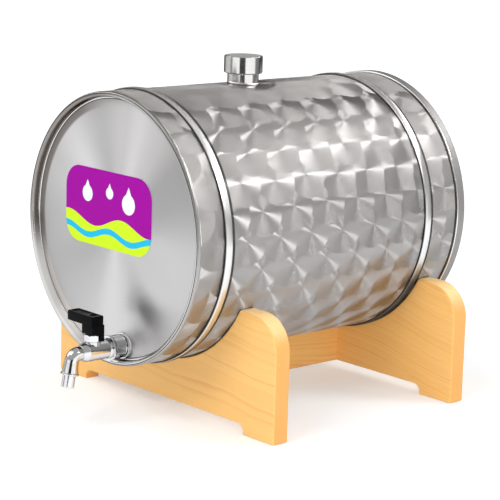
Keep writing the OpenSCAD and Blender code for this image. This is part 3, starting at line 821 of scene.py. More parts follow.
def tap_chrome(tap, name="tap_chrome"):
    """Bright plated metal with faint smears and a little dulling."""
    finish = Finish(name, Metallic=1.0, Specular_Tint=tap.limb_colour)
    smears = finish.noise(finish.place(), 120.0, 4.0, 0.6)
    finish.bump(finish.noise(finish.place(), 900.0), 0.004 * MM, 0.3)
    return finish.use(
        Base_Color=finish.tint(tap.chrome_colour, 0.94 + smears * 0.10),
        Roughness=finish.span(smears, 0.3, 0.75, 0.06, 0.17),
    )


def lever_plastic(tap):
    """Black moulded plastic with a fine spark texture and rubbed patches."""
    finish = Finish("lever_plastic", Specular_IOR_Level=0.035)
    rubbed = finish.noise(finish.place(), 70.0, 3.0)
    finish.bump(finish.noise(finish.place(), 1600.0), 0.03 * MM, 0.5)
    return finish.use(
        Base_Color=finish.tint(tap.plastic_colour, 0.8 + rubbed * 0.6),
        Roughness=finish.span(rubbed, 0.3, 0.7, 0.26, 0.42),
    )


def pine(stand, name, pith, slope, cradle, grain=Vector((1, 0, 0))):
    """Flat-sawn pine: year rings about a pith beside the board, with fine fibres along the grain."""
    finish = Finish(name, Specular_IOR_Level=0.35, Coat_Weight=0.12, Coat_Roughness=0.35)
    place = finish.place()
    normal = finish.node("NewGeometry").outputs["Normal"]
    lengthwise = finish.measure("DOT_PRODUCT", place, grain)
    sideways = finish.measure("DOT_PRODUCT", place, (grain.y, grain.x, 0))
    height = finish.parts(place)[2]

    def stretched(along, aside, up, detail, rough=0.5):
        """Noise at a scale of its own along the grain, across it and upwards."""
        spread = finish.joined(lengthwise * along, sideways * aside, height * up)
        return finish.noise(spread, 1.0, detail, rough)

    drift = stretched(5.0, 0.0, 0.0, 1.0)
    waver = stretched(9.0, 30.0, 30.0, 2.0)
    fibres = stretched(28.0, 900.0, 900.0, 4.0, 0.65)
    patches = stretched(6.0, 1.0, 18.0, 2.0)
    above_pith = height - pith[1] + (lengthwise * slope + drift * 0.05)
    reach = finish.reach(above_pith, sideways - pith[0]) + waver * 0.006
    years = reach / stand.ring_step
    years = years + finish.noise_along(years, 1.0, 0.9) * 2.2
    ring = finish.math("FRACT", years)
    year = finish.node("TexWhiteNoise", {"W": finish.math("FLOOR", years)}, noise_dimensions="1D")
    late = finish.fade(ring, 0.45, 0.93) * finish.fade(ring, 0.95, 1.0, 1.0, 0.0)
    late = late * finish.span(year.outputs["Value"], 0.0, 1.0, 0.2, 1.0)
    late = late * finish.span(patches, 0.35, 0.65, 0.3, 0.9)
    end = finish.fade(abs(finish.measure("DOT_PRODUCT", normal, grain)), 0.5, 0.9)
    # Painted light: faces that look upwards are made lighter
    painted_top_light = finish.fade(finish.parts(normal)[2], 0.15, 0.85, 0.0, 0.55)
    # Painted shadow in a thin line where the barrel lies in the cradle
    side, _, up = finish.parts(finish.place((0, 0, AXIS_Z)))
    rubbed = finish.fade(finish.reach(side, up), cradle + 2.4 * MM, cradle + 0.9 * MM, 0.0, 0.9)
    wood = finish.mix(late, stand.early_colour, stand.late_colour)
    wood = finish.mix(end * 0.75, wood, stand.end_colour)
    wood = finish.mix(painted_top_light, wood, stand.painted_top_light_colour)
    wood = finish.mix(rubbed, wood, stand.contact_shadow_colour)
    finish.bump(late * 0.6 + fibres, 0.06 * MM, 0.5)
    return finish.use(
        Base_Color=finish.tint(wood, 0.90 + fibres * 0.20),
        Roughness=finish.span(fibres, 0.3, 0.7, 0.40, 0.56),
    )


def plain_wood(name, shade):
    """Close-grained dowel wood."""
    finish = Finish(name, Roughness=0.6)
    flecks = finish.noise(finish.vector("MULTIPLY", finish.place(), (900, 40, 900)), 1.0, 3.0)
    finish.bump(flecks, 0.03 * MM, 0.4)
    return finish.use(Base_Color=finish.tint(shade, 0.85 + flecks * 0.3))


def soft_white(name, shade, rough):
    """Pale moulded seal or seat with a faint mottle."""
    finish = Finish(name, Roughness=rough)
    mottle = finish.noise(finish.place(), 500.0, 3.0)
    finish.bump(mottle, 0.02 * MM, 0.4)
    return finish.use(Base_Color=finish.tint(shade, 0.92 + mottle * 0.14))


def drop_shape(finish, x, z, centre, size):
    """1 inside a falling drop, and 0 outside it."""
    side = (x - centre[0]) / size
    high = (z - centre[1]) / size
    in_ball = side * side + high * high < 1.0
    in_tip = (abs(side) < finish.span(high, -0.2, 1.7, 1.0, 0.0)) * (high > 0.15)
    return finish.math("MAXIMUM", in_ball, in_tip)


def label_print(label):
    """Glossy sticker print: two waves under three falling drops, placed by shares of its size."""
    finish = Finish("label_print", Specular_IOR_Level=0.06)
    size = box_size("front_label")
    x, _, z = finish.parts(finish.place(middle("front_label")))
    swell = finish.math("SINE", x * (2 * math.pi / (size.x * 0.62)))
    ripple = finish.math("SINE", x * (2 * math.pi / (size.x * 0.5)) + 1.4)
    in_wave = z < swell * (size.z * 0.075) - size.z * 0.17
    off_stripe = z - (ripple * (size.z * 0.05) - size.z * 0.33)
    in_stripe = abs(off_stripe) < size.z * 0.04
    shade = finish.mix(in_wave, label.ground, label.wave)
    shade = finish.mix(in_stripe * in_wave, shade, label.stripe)
    for across, up, width in ((-0.24, 0.16, 0.085), (0.02, 0.22, 0.06), (0.24, 0.13, 0.105)):
        inside = drop_shape(finish, x, z, (across * size.x, up * size.z), width * size.x * 0.7)
        shade = finish.mix(inside, shade, label.drop)
    mottle = finish.noise(finish.place(), 300.0)
    finish.bump(mottle, 0.01 * MM, 0.3)
    return finish.use(
        Base_Color=finish.tint(shade, 0.96 + mottle * 0.08),
        Roughness=finish.span(mottle, 0.3, 0.7, 0.34, 0.44),
    )


# Barrel

def shell_radius(barrel):
    """Outer radius of the shell between its hoops."""
    return (SHELL_HIGH.z - SHELL_LOW.z) / 2 - barrel.hoop_h


def wall_radius(barrel):
    """Radius of the walls around the end discs."""
    return shell_radius(barrel) - barrel.rim_w


def hoop_places(barrel):
    """Middles of the front and the rear hoop."""
    return FRONT_Y + barrel.front_hoop, REAR_Y - barrel.rear_hoop


def hoop_profile(barrel, radius, place, foot=1.2 * MM, steps=16):
    """Half section of one pressed hoop with a crease at each foot."""
    half = barrel.hoop_w / 2
    points = [(radius, place - half - foot), (radius - barrel.crease, place - half)]
    for i in range(1, steps):
        side = -math.cos(math.pi * i / steps)
        points.append((radius + barrel.hoop_h * math.sqrt(1 - side ** 4), place + half * side))
    points += [(radius - barrel.crease, place + half), (radius, place + half + foot)]
    return points


def make_shell(barrel):
    """Rolled shell with its hoops and the hole for the filler."""
    radius = shell_radius(barrel)
    front = barrel.rim_w * 0.7
    turned_in = 0.4 * MM
    outer = [(radius - turned_in, front), (radius, front + 0.5 * MM)]
    for along in (barrel.front_hoop, BARREL_L - barrel.rear_hoop):
        outer += hoop_profile(barrel, radius, along)
    outer.append((radius, BARREL_L - barrel.sheet))
    inner = [(reach - barrel.sheet, along) for reach, along in reversed(outer)]
    materials = [turned_steel(barrel), hoop_steel(barrel)]
    piece = lathe("engine_turned_shell", outer + inner, BARREL_PLACE, materials, 360, closed=True)
    hole_r = box_size("filler_neck").x / 2
    hole_place = standing(Vector((NECK_AXIS.x, NECK_AXIS.y, AXIS_Z)), UP, BACK)
    cut_away(piece, lathe("hole", [(0, 0), (hole_r, 0), (hole_r, 1), (0, 1)], hole_place, [], 96))
    hoops = hoop_places(barrel)
    reach = barrel.hoop_w / 2 + 0.1 * MM
    for face in piece.data.polygons:
        on_hoop = any(abs(face.center.y - hoop) < reach for hoop in hoops)
        face.material_index = 1 if on_hoop else 0
    settle(piece, "barrel", "turned_steel", "barrel_shell")
    bpy.data.collections[GLEAMING].objects.link(piece)


def dress_rim(piece, wall, bright, back=None, line=0.9 * MM):
    """Gives each face of an end its finish, by its place in the list of materials.

    0 is the flat disc, 1 the rim, 2 the faces that a test picks as bright, 3 the rim's outer side beyond
    a radius, and 4 the dark line where that side starts.
    """
    for face in piece.data.polygons:
        reach = math.hypot(face.center.x, face.center.z - AXIS_Z)
        face.material_index = 1 if reach > wall - line else 0
        if bright(reach, face.center.y):
            face.material_index = 2
        if back and reach > back:
            on_line = reach < back + line and face.normal.y < 0
            face.material_index = 4 if on_line else 3


def make_front_head(barrel):
    """Front disc with a seam bead in its corner, its wall and the rolled rim."""
    wall = wall_radius(barrel)
    roll = barrel.rim_w / 2
    depth = DISC_Y - FRONT_Y
    sheet = barrel.sheet
    bead = barrel.seam_r
    face = [(0, depth), (wall - 2.6 * bead, depth), (wall - 2.1 * bead, depth)]
    face += arc((wall - bead, depth), bead, 180, 270, 8) + [(wall, depth - bead * 1.05)]
    outer_roll = arc((wall + roll, roll), roll, 180, 390, 28)
    inner_roll = arc((wall + roll, roll), roll - 0.7 * sheet, 390, 180, 28)
    back = [(wall + sheet, depth + sheet), (0, depth + sheet)]
    materials = [
        disc_steel(barrel, "front_disc_steel", DISC_Y),
        rim_steel("front_rim_steel", barrel.rim_colour, barrel.limb_colour, barrel),
        rim_steel("seam_steel", barrel.polished_colour, barrel.turned_limb),
        rim_steel("rim_back_steel", barrel.back_colour, barrel.turned_limb, rough=0.36),
        # Painted shade line where the rim's outer side starts
        rim_steel("rim_line_steel", barrel.painted_crease_shade, barrel.limb_colour, rough=0.36),
    ]
    profile = face + outer_roll + inner_roll + back
    piece = lathe("front_disc_and_rim", profile, BARREL_PLACE, materials, 360)

    def on_seam(reach, along):
        return wall - 2.05 * bead < reach < wall - 0.05 * bead and along > DISC_Y - 1.2 * bead

    dress_rim(piece, wall, on_seam, wall + 0.6 * barrel.rim_w)
    settle(piece, "barrel", "disc_steel", "front_head")


def make_rear_head(barrel):
    """Rear disc, its wall and the folded band around the shell's end."""
    radius = shell_radius(barrel)
    wall = wall_radius(barrel)
    outer = radius + barrel.band_h
    sheet = barrel.sheet
    edge = barrel.edge
    under = radius - 0.3 * MM
    end = BARREL_L
    disc = end - (DISC_Y - FRONT_Y)
    profile = rounded([
        (0, disc, 0),
        (wall, disc, 1.6 * MM),
        (wall, end, edge),
        (outer, end, 2 * edge),
        (outer, end - barrel.band_w, edge),
        (under, end - barrel.band_w, 0),
        (under, end - 2 * sheet, 0),
        (wall + sheet, end - 2 * sheet, 0),
        (wall + sheet, disc - sheet, 0),
        (0, disc - sheet, 0),
    ], 6)
    materials = [
        disc_steel(barrel, "rear_disc_steel", REAR_Y - (DISC_Y - FRONT_Y)),
        rim_steel("rear_band_steel", barrel.band_colour, barrel.limb_colour, rough=0.40, metallic=0.55),
        # Painted highlight: the band's rounded front edge is given the bright polished colour
        rim_steel("band_edge_steel", barrel.polished_colour, barrel.turned_limb),
    ]
    piece = lathe("rear_disc_and_band", profile, BARREL_PLACE, materials, 360)

    def on_front_edge(reach, along):
        return reach > radius + 0.2 * MM and along < REAR_Y - barrel.band_w + 1.4 * MM

    dress_rim(piece, wall, on_front_edge)
    settle(piece, "barrel", "disc_steel", "rear_head")


def make_label(label):
    """Printed sticker on the front disc."""
    size = box_size("front_label")
    centre = middle("front_label")
    place = standing(Vector((centre.x, DISC_Y, centre.z)), -BACK)
    outline = rounded_rectangle(size.x, size.z, label.corner, 16)
    piece = slab("front_sticker", outline, 0, size.y, 0.15 * MM, place, [label_print(label)], 2)
    settle(piece, "barrel", "label_print", "front_label")


# Filler

def make_filler(barrel, tap):
    """Filler neck and the weld bead around its foot."""
    low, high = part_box("filler_neck")
    radius = box_size("filler_neck").x / 2
    crest = tap.thread_d / 2
    bore = crest - tap.neck_wall
    shell = shell_radius(barrel)
    shoulder = AXIS_Z + shell + tap.neck_h
    edge = tap.edge
    first, last = shoulder + tap.thread_pitch / 4, high.z - 1.5 * edge
    rows = round((last - first) / tap.thread_pitch * 10)
    profile = rounded([
        (bore, low.z, 0),
        (radius, low.z, 0),
        (radius, shoulder, edge),
        (crest, shoulder, 0),
        *((crest, first + (last - first) * i / rows, 0) for i in range(rows + 1)),
        (crest, high.z, edge),
        (bore, high.z, edge),
    ], 5)
    steel = polished_steel(barrel, "neck_steel", NECK_FOOT)
    piece = lathe("filler_neck_tube", profile, NECK_PLACE, [steel], 96, closed=True)
    cut_thread(piece, tap, crest, first, last)
    settle(piece, "barrel", "polished_steel", "filler_neck")
    bead = make_weld(shell, radius, tap, steel)
    settle(bead, "barrel", "polished_steel", "neck_weld")


def cut_thread(piece, tap, crest, first, last):
    """Sinks a helical groove into the neck between two heights, running out at both ends."""
    for vertex in piece.data.vertices:
        x, y, z = vertex.co.x - NECK_AXIS.x, vertex.co.y - NECK_AXIS.y, vertex.co.z
        reach = math.hypot(x, y)
        if reach < crest - 0.01 * MM or not first < z < last:
            continue
        run_out = min(1, (z - first) / tap.thread_pitch, (last - z) / tap.thread_pitch)
        phase = 2 * math.pi * z / tap.thread_pitch - math.atan2(y, x)
        shrink = 1 - tap.thread_depth * run_out * (0.5 - 0.5 * math.cos(phase)) / reach
        vertex.co.x = NECK_AXIS.x + x * shrink
        vertex.co.y = NECK_AXIS.y + y * shrink


def make_weld(shell, radius, tap, steel, segments=192, steps=8, ripples=56, hollow=0.86, sunk=0.3 * MM):
    """Weld bead that follows the line where the neck meets the shell."""
    bm = bmesh.new()
    rings = []
    for i in range(segments):
        angle = 2 * math.pi * i / segments
        width = tap.weld_w * (1 + 0.10 * math.sin(ripples * angle))
        section = []
        for k in range(steps + 1):
            bend = math.pi / 2 * k / steps
            out = width * (1 - math.sin(bend) * hollow) - sunk
            up = width * (1 - math.cos(bend) * hollow) - sunk
            section.append((radius + out, up))
        section.append((radius - 0.6 * MM, -0.8 * MM))
        ring = []
        for reach, rise in section:
            x, y = reach * math.cos(angle), reach * math.sin(angle)
            z = math.sqrt(shell * shell - x * x) + rise
            ring.append(bm.verts.new((NECK_AXIS.x + x, NECK_AXIS.y + y, AXIS_Z + z)))
        rings.append(ring)
    for here, after in zip(rings, rings[1:] + rings[:1]):
        join_rings(bm, here, after)
    return shown("neck_weld_bead", bm, [steel], 60)


def make_cap(barrel, tap):
    """Screw cap over the neck."""
    low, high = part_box("filler_cap")
    radius = (high.x - low.x) / 2
    bore = tap.thread_d / 2 + FIT
    chamfer = tap.cap_chamfer
    soft = 0.3 * MM
    profile = rounded([
        (0, high.z - tap.cap_top, 0),
        (bore, high.z - tap.cap_top, 0),
        (bore, low.z, soft),
        (radius - chamfer, low.z, soft),
        (radius, low.z + chamfer, soft),
        (radius, high.z - chamfer, soft),
        (radius - chamfer, high.z, soft),
        (0, high.z, 0),
    ], 4)
    piece = lathe("screw_cap", profile, NECK_PLACE, [polished_steel(barrel, "cap_steel", NECK_FOOT)], 128)
    settle(piece, "cap", "polished_steel", "filler_cap")


# Tap

def make_tap(tap):
    """Flange, collar, body, spout, nozzle and gland nut of the tap."""
    chrome = tap_chrome(tap)
    place = standing(Vector((TAP_AXIS.x, DISC_Y, TAP_AXIS.z)), -BACK)
    body_low, body_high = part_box("tap_body")
    collar_at = DISC_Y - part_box("tap_flange")[0].y
    body_at = DISC_Y - body_high.y
    elbow_at = DISC_Y - body_low.y
    edge = tap.edge
    flange_r = box_size("tap_flange").x / 2
    flange = rounded([
        (0, collar_at - tap.flange_t, 0),
        (flange_r, collar_at - tap.flange_t, edge),
        (flange_r, collar_at, 1.4 * edge),
        (0, collar_at, 0),
    ])
    piece = lathe("tap_flange_ring", flange, place, [chrome], 96)
    settle(piece, "barrel", "tap_chrome", "tap_flange")

    collar_r = tap.collar_d / 2
    groove_r = collar_r - 1.4 * MM
    groove_end = collar_at + 1.2 * MM
    shoulder_r = box_size("tap_collar").x / 2
    shoulder_at = body_at - tap.shoulder_t
    flare_at = shoulder_at - 2.2 * MM
    collar = rounded([
        (0, collar_at, 0),
        (groove_r, collar_at, 0),
        (groove_r, groove_end, 0),
        (collar_r, groove_end + 0.4 * MM, edge),
        (collar_r, flare_at, 1.2 * MM),
        (shoulder_r, shoulder_at, edge),
        (shoulder_r, body_at, edge),
        (0, body_at, 0),
    ])
    piece = lathe("tap_collar_ring", collar, place, [chrome], 96)
    settle(piece, "barrel", "tap_chrome", "tap_collar")

    body_r = tap.body_d / 2
    step_r = body_r + 0.9 * MM
    step_end = body_at + 1.2 * MM
    root = body_at - 0.2 * MM
    front_r = tap.elbow_d / 2 + 0.6 * MM
    bm = bmesh.new()
    lathe_mesh(bm, rounded([
        (0, root, 0),
        (step_r, root, 0),
        (step_r, step_end, edge),
        (body_r, step_end + 0.8 * MM, edge),
        (body_r, body_at + tap.body_l, 3.0 * MM),
        (front_r, elbow_at, edge),
        (0, elbow_at, 0),
    ], 8), place, 96)
    boss_r = tap.boss_d / 2
    foot_r = boss_r + 1.0 * MM
    boss_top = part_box("gland_nut")[0].z - TAP_AXIS.z
    taper_end = boss_top - 2.2 * MM
    boss_place = standing(Vector((STEM_AXIS.x, STEM_AXIS.y, TAP_AXIS.z)), UP, BACK)
    lathe_mesh(bm, rounded([
        (0, 0, 0),
        (foot_r, 0, 0),
        (boss_r, taper_end, 0.8 * MM),
        (boss_r, boss_top, edge),
        (0, boss_top, 0),
    ], 5), boss_place, 72)
    piece = shown("tap_body_with_boss", bm, [chrome])
    settle(piece, "barrel", "tap_chrome", "tap_body")
    make_spout(tap, chrome, elbow_at)
    make_gland_nut(chrome)


def make_spout(tap, chrome, elbow_at, steps=20):
    """Elbow, spout leg, lip and nozzle."""
    start = Vector((TAP_AXIS.x, DISC_Y - elbow_at - tap.elbow_start, TAP_AXIS.z))
    centre = start - UP * tap.elbow_r
    swing = math.pi / 2 - tap.spout_lean
    down = -BACK * math.sin(tap.spout_lean) - UP * math.cos(tap.spout_lean)
    points = [start + BACK * tap.elbow_start, start + BACK * (tap.elbow_start * 0.5)]
    for i in range(steps + 1):
        angle = swing * i / steps
        points.append(centre - BACK * (tap.elbow_r * math.sin(angle)) + UP * (tap.elbow_r * math.cos(angle)))
    end = points[-1]
    overlap = 1.5 * MM
    points.append(end + down * overlap)
    radius = tap.elbow_d / 2
    bm = bmesh.new()
    rod_mesh(bm, points, radius, Vector((1, 0, 0)), 96)
    lip_r = tap.lip_d / 2
    socket_r = tap.nozzle_d / 2 - 0.8 * MM
    socket_at = tap.spout_l - 3.0 * MM
    leg_start, leg_end = 0.2 * MM, tap.spout_l - 0.2 * MM
    top = tap.spout_l + tap.lip_t
    place = standing(end, down, -BACK)
    lathe_mesh(bm, rounded([
        (radius - 1.0 * MM, leg_start, 0),
        (radius, leg_start, 0),
        (tap.spout_end_d / 2, leg_end, 0.6 * MM),
        (lip_r, tap.spout_l, 0.5 * MM),
        (lip_r, top, 0.6 * MM),
        (socket_r, top, 0),
        (socket_r, socket_at, 0),
        (0, socket_at, 0),
    ], 5), place, 96)
    piece = shown("tap_spout_elbow", bm, [chrome])
    settle(piece, "barrel", "tap_chrome", "tap_spout")

    outer = tap.nozzle_d / 2
    inner = outer - tap.nozzle_wall
    plug_r = outer - 0.7 * MM
    plug_at = top - 4.0 * MM
    mouth = top + tap.nozzle_l
    nozzle = rounded([
        (inner, plug_at, 0),
        (plug_r, plug_at, 0),
        (plug_r, top, 0),
        (outer, top + 0.3 * MM, 0.3 * MM),
        (outer, mouth, 0.7 * MM),
        (inner, mouth, 0.5 * MM),
    ], 5)
    piece = lathe("tap_nozzle_tube", nozzle, place, [chrome], 96, closed=True)
    settle(piece, "barrel", "tap_chrome", "tap_nozzle")


def make_gland_nut(chrome, per_side=8, levels=4, chamfer=math.radians(28)):
    """Hexagon nut whose corners are chamfered, as on a turned bar."""
    low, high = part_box("gland_nut")
    size = high - low
    flat = min(size.x, size.y) / 2
    corner = flat / math.cos(math.pi / 6)
    place = standing(Vector((STEM_AXIS.x, STEM_AXIS.y, low.z)), UP, BACK)
    turned = math.pi / 6 if size.x < size.y else 0.0
    outline = []
    for side in range(6):
        first = turned + math.pi / 3 * side
        start = Vector((math.cos(first), math.sin(first))) * corner
        end = Vector((math.cos(first + math.pi / 3), math.sin(first + math.pi / 3))) * corner
        outline += [start.lerp(end, k / per_side) for k in range(per_side)]
    bm = bmesh.new()
    rings = []
    for level in range(levels + 1):
        ring = []
        for point in outline:
            drop = (point.length - flat) * math.tan(chamfer) + 0.15 * MM
            height = drop + (size.z - 2 * drop) * level / levels
            ring.append(bm.verts.new(place @ Vector((point.x, point.y, height))))
        rings.append(ring)
    for lower, upper in zip(rings, rings[1:]):
        join_rings(bm, lower, upper)
    face_r = flat - 0.4 * MM
    for ring, height in ((rings[0], 0.0), (rings[-1], size.z)):
        face = [bm.verts.new(place @ Vector((*(point.normalized() * face_r), height))) for point in outline]
        join_rings(bm, ring, face)
        bm.faces.new(face)
    piece = shown("gland_hexagon_nut", bm, [chrome], 24)
    settle(piece, "barrel", "tap_chrome", "gland_nut")


def make_lever(tap):
    """Black lever with its hub, lug and sunk panel, and the screw in the hub."""
    plastic = lever_plastic(tap)
    low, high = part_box("tap_handle")
    top = high.z
    hub_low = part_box("gland_nut")[1].z + LEVER_GAP
    bar_low = top - tap.lever_t
    edge = tap.lever_edge
    reach = STEM_AXIS.x - low.x
    bm = bmesh.new()
    hub = rounded_rectangle(tap.hub_w, tap.lever_w, tap.hub_r)
    slab_mesh(bm, hub, hub_low, bar_low + tap.hub_lap, edge, STEM_PLACE)
    bar = rounded_rectangle(reach + tap.lever_back, tap.lever_w, tap.hub_r)
    bar_shift = Matrix.Translation(((tap.lever_back - reach) / 2, 0, 0))
    slab_mesh(bm, bar, bar_low, top, edge, STEM_PLACE @ bar_shift)
    piece = shown("lever_grip", bm, [plastic])
    well_r = box_size("handle_screw").x / 2 + LEVER_GAP
    well_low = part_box("handle_screw")[1].z - tap.screw_head
    well = [(0, well_low), (well_r, well_low), (well_r, top + edge), (0, top + edge)]
    cut_away(piece, lathe("well", well, STEM_PLACE, [], 64))
    panel_from = well_r + tap.panel_border
    panel_l = reach - tap.panel_border - panel_from
    panel_place = STEM_PLACE @ Matrix.Translation((-panel_from - panel_l / 2, 0, 0))
    panel = rounded_rectangle(panel_l, tap.lever_w - 2 * tap.panel_border, tap.hub_r / 4, 6)
    cut_away(piece, slab("panel", panel, top - tap.panel_t, top + edge, 0.2 * MM, panel_place, []))
    settle(piece, "lever", "lever_plastic", "tap_handle")
    make_lug(tap, plastic, low.z, hub_low + edge)
    make_screw(tap)


def make_lug(tap, plastic, low, high, steps=8):
    """Stop lug that hangs from the hub's rear corner beside the gland nut."""
    front = tap.hub_w / 2
    half = tap.lever_w / 2
    nut = box_size("gland_nut")
    inner = max(nut.x, nut.y) / 2 + LEVER_GAP
    start = math.degrees(math.asin(half / inner))
    end = math.degrees(math.asin(tap.lug_from / inner))
    outline = arc((0, 0), inner, start, end, steps)
    outline += [(front, tap.lug_from)]
    outline += arc((front - tap.hub_r, half - tap.hub_r), tap.hub_r, 0, 90, steps)
    piece = slab("lever_lug", outline, low, high, 0.2 * MM, STEM_PLACE, [plastic], 3)
    settle(piece, "lever", "lever_plastic")


def make_screw(tap, dome=0.55, steps=8):
    """Pan-head screw with a cross recess, sunk in the hub."""
    low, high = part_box("handle_screw")
    radius = (high.x - low.x) / 2
    shank = tap.screw_shank / 2
    neck = high.z - tap.screw_head
    crown = tap.screw_head * dome
    profile = [(0, low.z), (shank, low.z), (shank, neck), (radius, neck), (radius, high.z - crown)]
    for i in range(1, steps):
        angle = math.pi / 2 * i / steps
        profile.append((radius * math.cos(angle), high.z - crown * (1 - math.sin(angle))))
    profile.append((0, high.z))
    piece = lathe("lever_screw", profile, STEM_PLACE, [tap_chrome(tap, "screw_steel")], 64)
    slot_w, slot_corner = 1.0 * MM, 0.2 * MM
    slot_low, slot_high = high.z - 1.4 * MM, high.z + 1.0 * MM
    slot = rounded_rectangle(radius * 1.3, slot_w, slot_corner, 3)
    for turned in (0, math.pi / 2):
        place = STEM_PLACE @ Matrix.Rotation(turned, 4, "Z")
        cut_away(piece, slab("recess", slot, slot_low, slot_high, slot_corner / 2, place, [], 2))
    settle(piece, "lever", "polished_steel", "handle_screw")


# Stand

def board_outline(stand, cradle, node):
    """Anticlockwise outline of a cradle board, seen from the front."""
    half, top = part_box(node)[1].x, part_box(node)[1].z
    lap = math.degrees(math.acos((AXIS_Z - top) / cradle))
    arch = half - stand.foot_w
    foot, horn, bend = stand.foot_r, stand.horn_r, stand.arch_r
    outline = arc((half - foot, foot), foot, -90, 0, 4)
    outline += arc((half - horn, top - horn), horn, 0, 90, 24)
    outline += arc((0, AXIS_Z), cradle, -90 + lap, -90 - lap, 96)
    outline += arc((horn - half, top - horn), horn, 90, 180, 24)
    outline += arc((foot - half, foot), foot, 180, 270, 4)
    outline += [(-arch, 0)]
    outline += arc((bend - arch, stand.arch_h - bend), bend, 180, 90, 10)
    outline += arc((arch - bend, stand.arch_h - bend), bend, 90, 0, 10)
    outline += [(arch, 0)]
    return outline


def make_stand(stand, barrel):
    """Both cradle boards and the stretcher between them."""
    # Node, piece, place of the pith beside the board in metres, and slope of the grain
    boards = (
        ("front_cradle", "front_pine_board", (-0.20, 0.02), 0.06),
        ("rear_cradle", "rear_pine_board", (0.13, -0.03), 0.16),
    )
    cradle = shell_radius(barrel) + FIT
    for node, name, pith, slope in boards:
        low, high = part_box(node)
        place = standing(Vector((0, high.y, 0)), -BACK)
        wood = pine(stand, name + "_wood", pith, slope, cradle)
        outline = board_outline(stand, cradle, node)
        piece = slab(name, outline, 0, high.y - low.y, stand.edge, place, [wood], 6)
        settle(piece, "stand", "pine", node)
    size = box_size("stretcher")
    centre = middle("stretcher")
    place = standing(Vector((centre.x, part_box("stretcher")[1].y, centre.z)), -BACK)
    outline = rounded_rectangle(size.x, size.z, 2.0 * MM, 5)
    wood = pine(stand, "stretcher_wood", (0.09, -0.02), 0.03, cradle, BACK)
    piece = slab("pine_stretcher", outline, 0, size.y, 0.3 * MM, place, [wood], 3)
    settle(piece, "stand", "pine", "stretcher")


def finish_inner_pieces(barrel):
    """Finishes of the construction pieces that stay as they are."""
    steel = polished_steel(barrel, "inner_steel", STEM_AXIS)
    silicone = soft_white("silicone", (0.80, 0.80, 0.78), 0.55)
    seat = soft_white("seat_plastic", (0.86, 0.86, 0.84), 0.4)
    finishes = {
        "stretcher_dowels": plain_wood("beech", (0.62, 0.40, 0.22)),
        "cap_gasket": silicone,
        "tap_outer_seal": silicone,
        "tap_inner_seal": silicone,
        "inlet_ball_seat": seat,
        "outlet_ball_seat": seat,
        "stem_packing": seat,
        "tap_lock_nut": steel,
        "tap_ball": steel,
        "tap_stem": steel,
    }
    for node, finish in finishes.items():
        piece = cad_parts[node]
        if not piece.material_slots:
            piece.data.materials.append(finish)
        for holder in piece.material_slots:
            holder.material = finish


# Stage

def only_in_reflections(card):
    """Lets a studio card show in reflections alone."""
    card.visible_camera = False
    card.visible_diffuse = False
    card.visible_shadow = False
    card.visible_transmission = False


def floor_finish(stage):
    """Pale floor that reads white where nothing shades it."""
    finish = Finish("pale_floor", Roughness=0.9, Specular_IOR_Level=0.1)
    grain = finish.noise(finish.place(), 40.0)
    finish.use(Base_Color=finish.tint(stage.floor_colour, 0.985 + grain * 0.03))
    x, y, _ = finish.parts(finish.place())
    level = finish.fade(finish.reach(x, y), 0.5, 3.0, 0.30, 0.62)
    glow = finish.node("Emission", {"Color": (1, 1, 1), "Strength": finish.seen() * level})
    return finish.show(finish.node("AddShader", {0: finish.shader.outputs[0], 1: glow.outputs[0]}))


def wall_finish(stage):
    """Grey studio walls with soft light panels, seen in reflections."""
    finish = Finish("studio_walls")
    x, y, z = finish.parts(finish.vector("NORMALIZE", finish.place()))
    bearing = finish.math("DEGREES", finish.math("ARCTAN2", x, y))
    height = finish.math("DEGREES", finish.math("ARCSINE", z))
    belt = finish.ramp(bearing, WALL_BELT)
    shade = finish.mix(finish.fade(height, 9.0, 3.0), stage.wall_colour, belt)
    light = 0.0
    for lies, half_wide, middle_height, half_high, glow in LIGHT_PANELS:
        away = abs(finish.math("WRAP", bearing - lies, 180, -180))
        across = finish.fade(away, half_wide * 1.2, half_wide * 0.7)
        upward = finish.fade(abs(height - middle_height), half_high * 1.3, half_high * 0.7)
        light = light + across * upward * glow
    shade = finish.vector("ADD", shade, finish.joined(light, light, light))
    return finish.show(finish.node("Emission", {"Color": shade, "Strength": 1.0}))


def make_world(shade_level=0.55):
    """White background that lights the object at a plain level."""
    world = bpy.data.worlds.new("studio")
    bpy.context.scene.world = world
    world.use_nodes = True
    tree = Nodes(world.node_tree)
    background = tree.nodes["Background"].inputs
    tree.put(background["Color"], (1, 1, 1))
    tree.put(background["Strength"], tree.span(tree.seen(), 0.0, 1.0, shade_level, 1.0))


def make_lamp(name, place, aim, size, power, gleam=False):
    """Soft rectangular lamp aimed at a point, which lights dull surfaces or gleams in bright ones."""
    lamp = bpy.data.lights.new(name, "AREA")
    lamp.shape = "RECTANGLE"
    lamp.size, lamp.size_y = size
    lamp.energy = power
    holder = bpy.data.objects.new(name, lamp)
    bpy.context.scene.collection.objects.link(holder)
    holder.matrix_world = standing(Vector(place), Vector(place) - Vector(aim))
    holder.visible_diffuse = not gleam
    holder.visible_glossy = gleam
    holder.visible_camera = False
    return holder


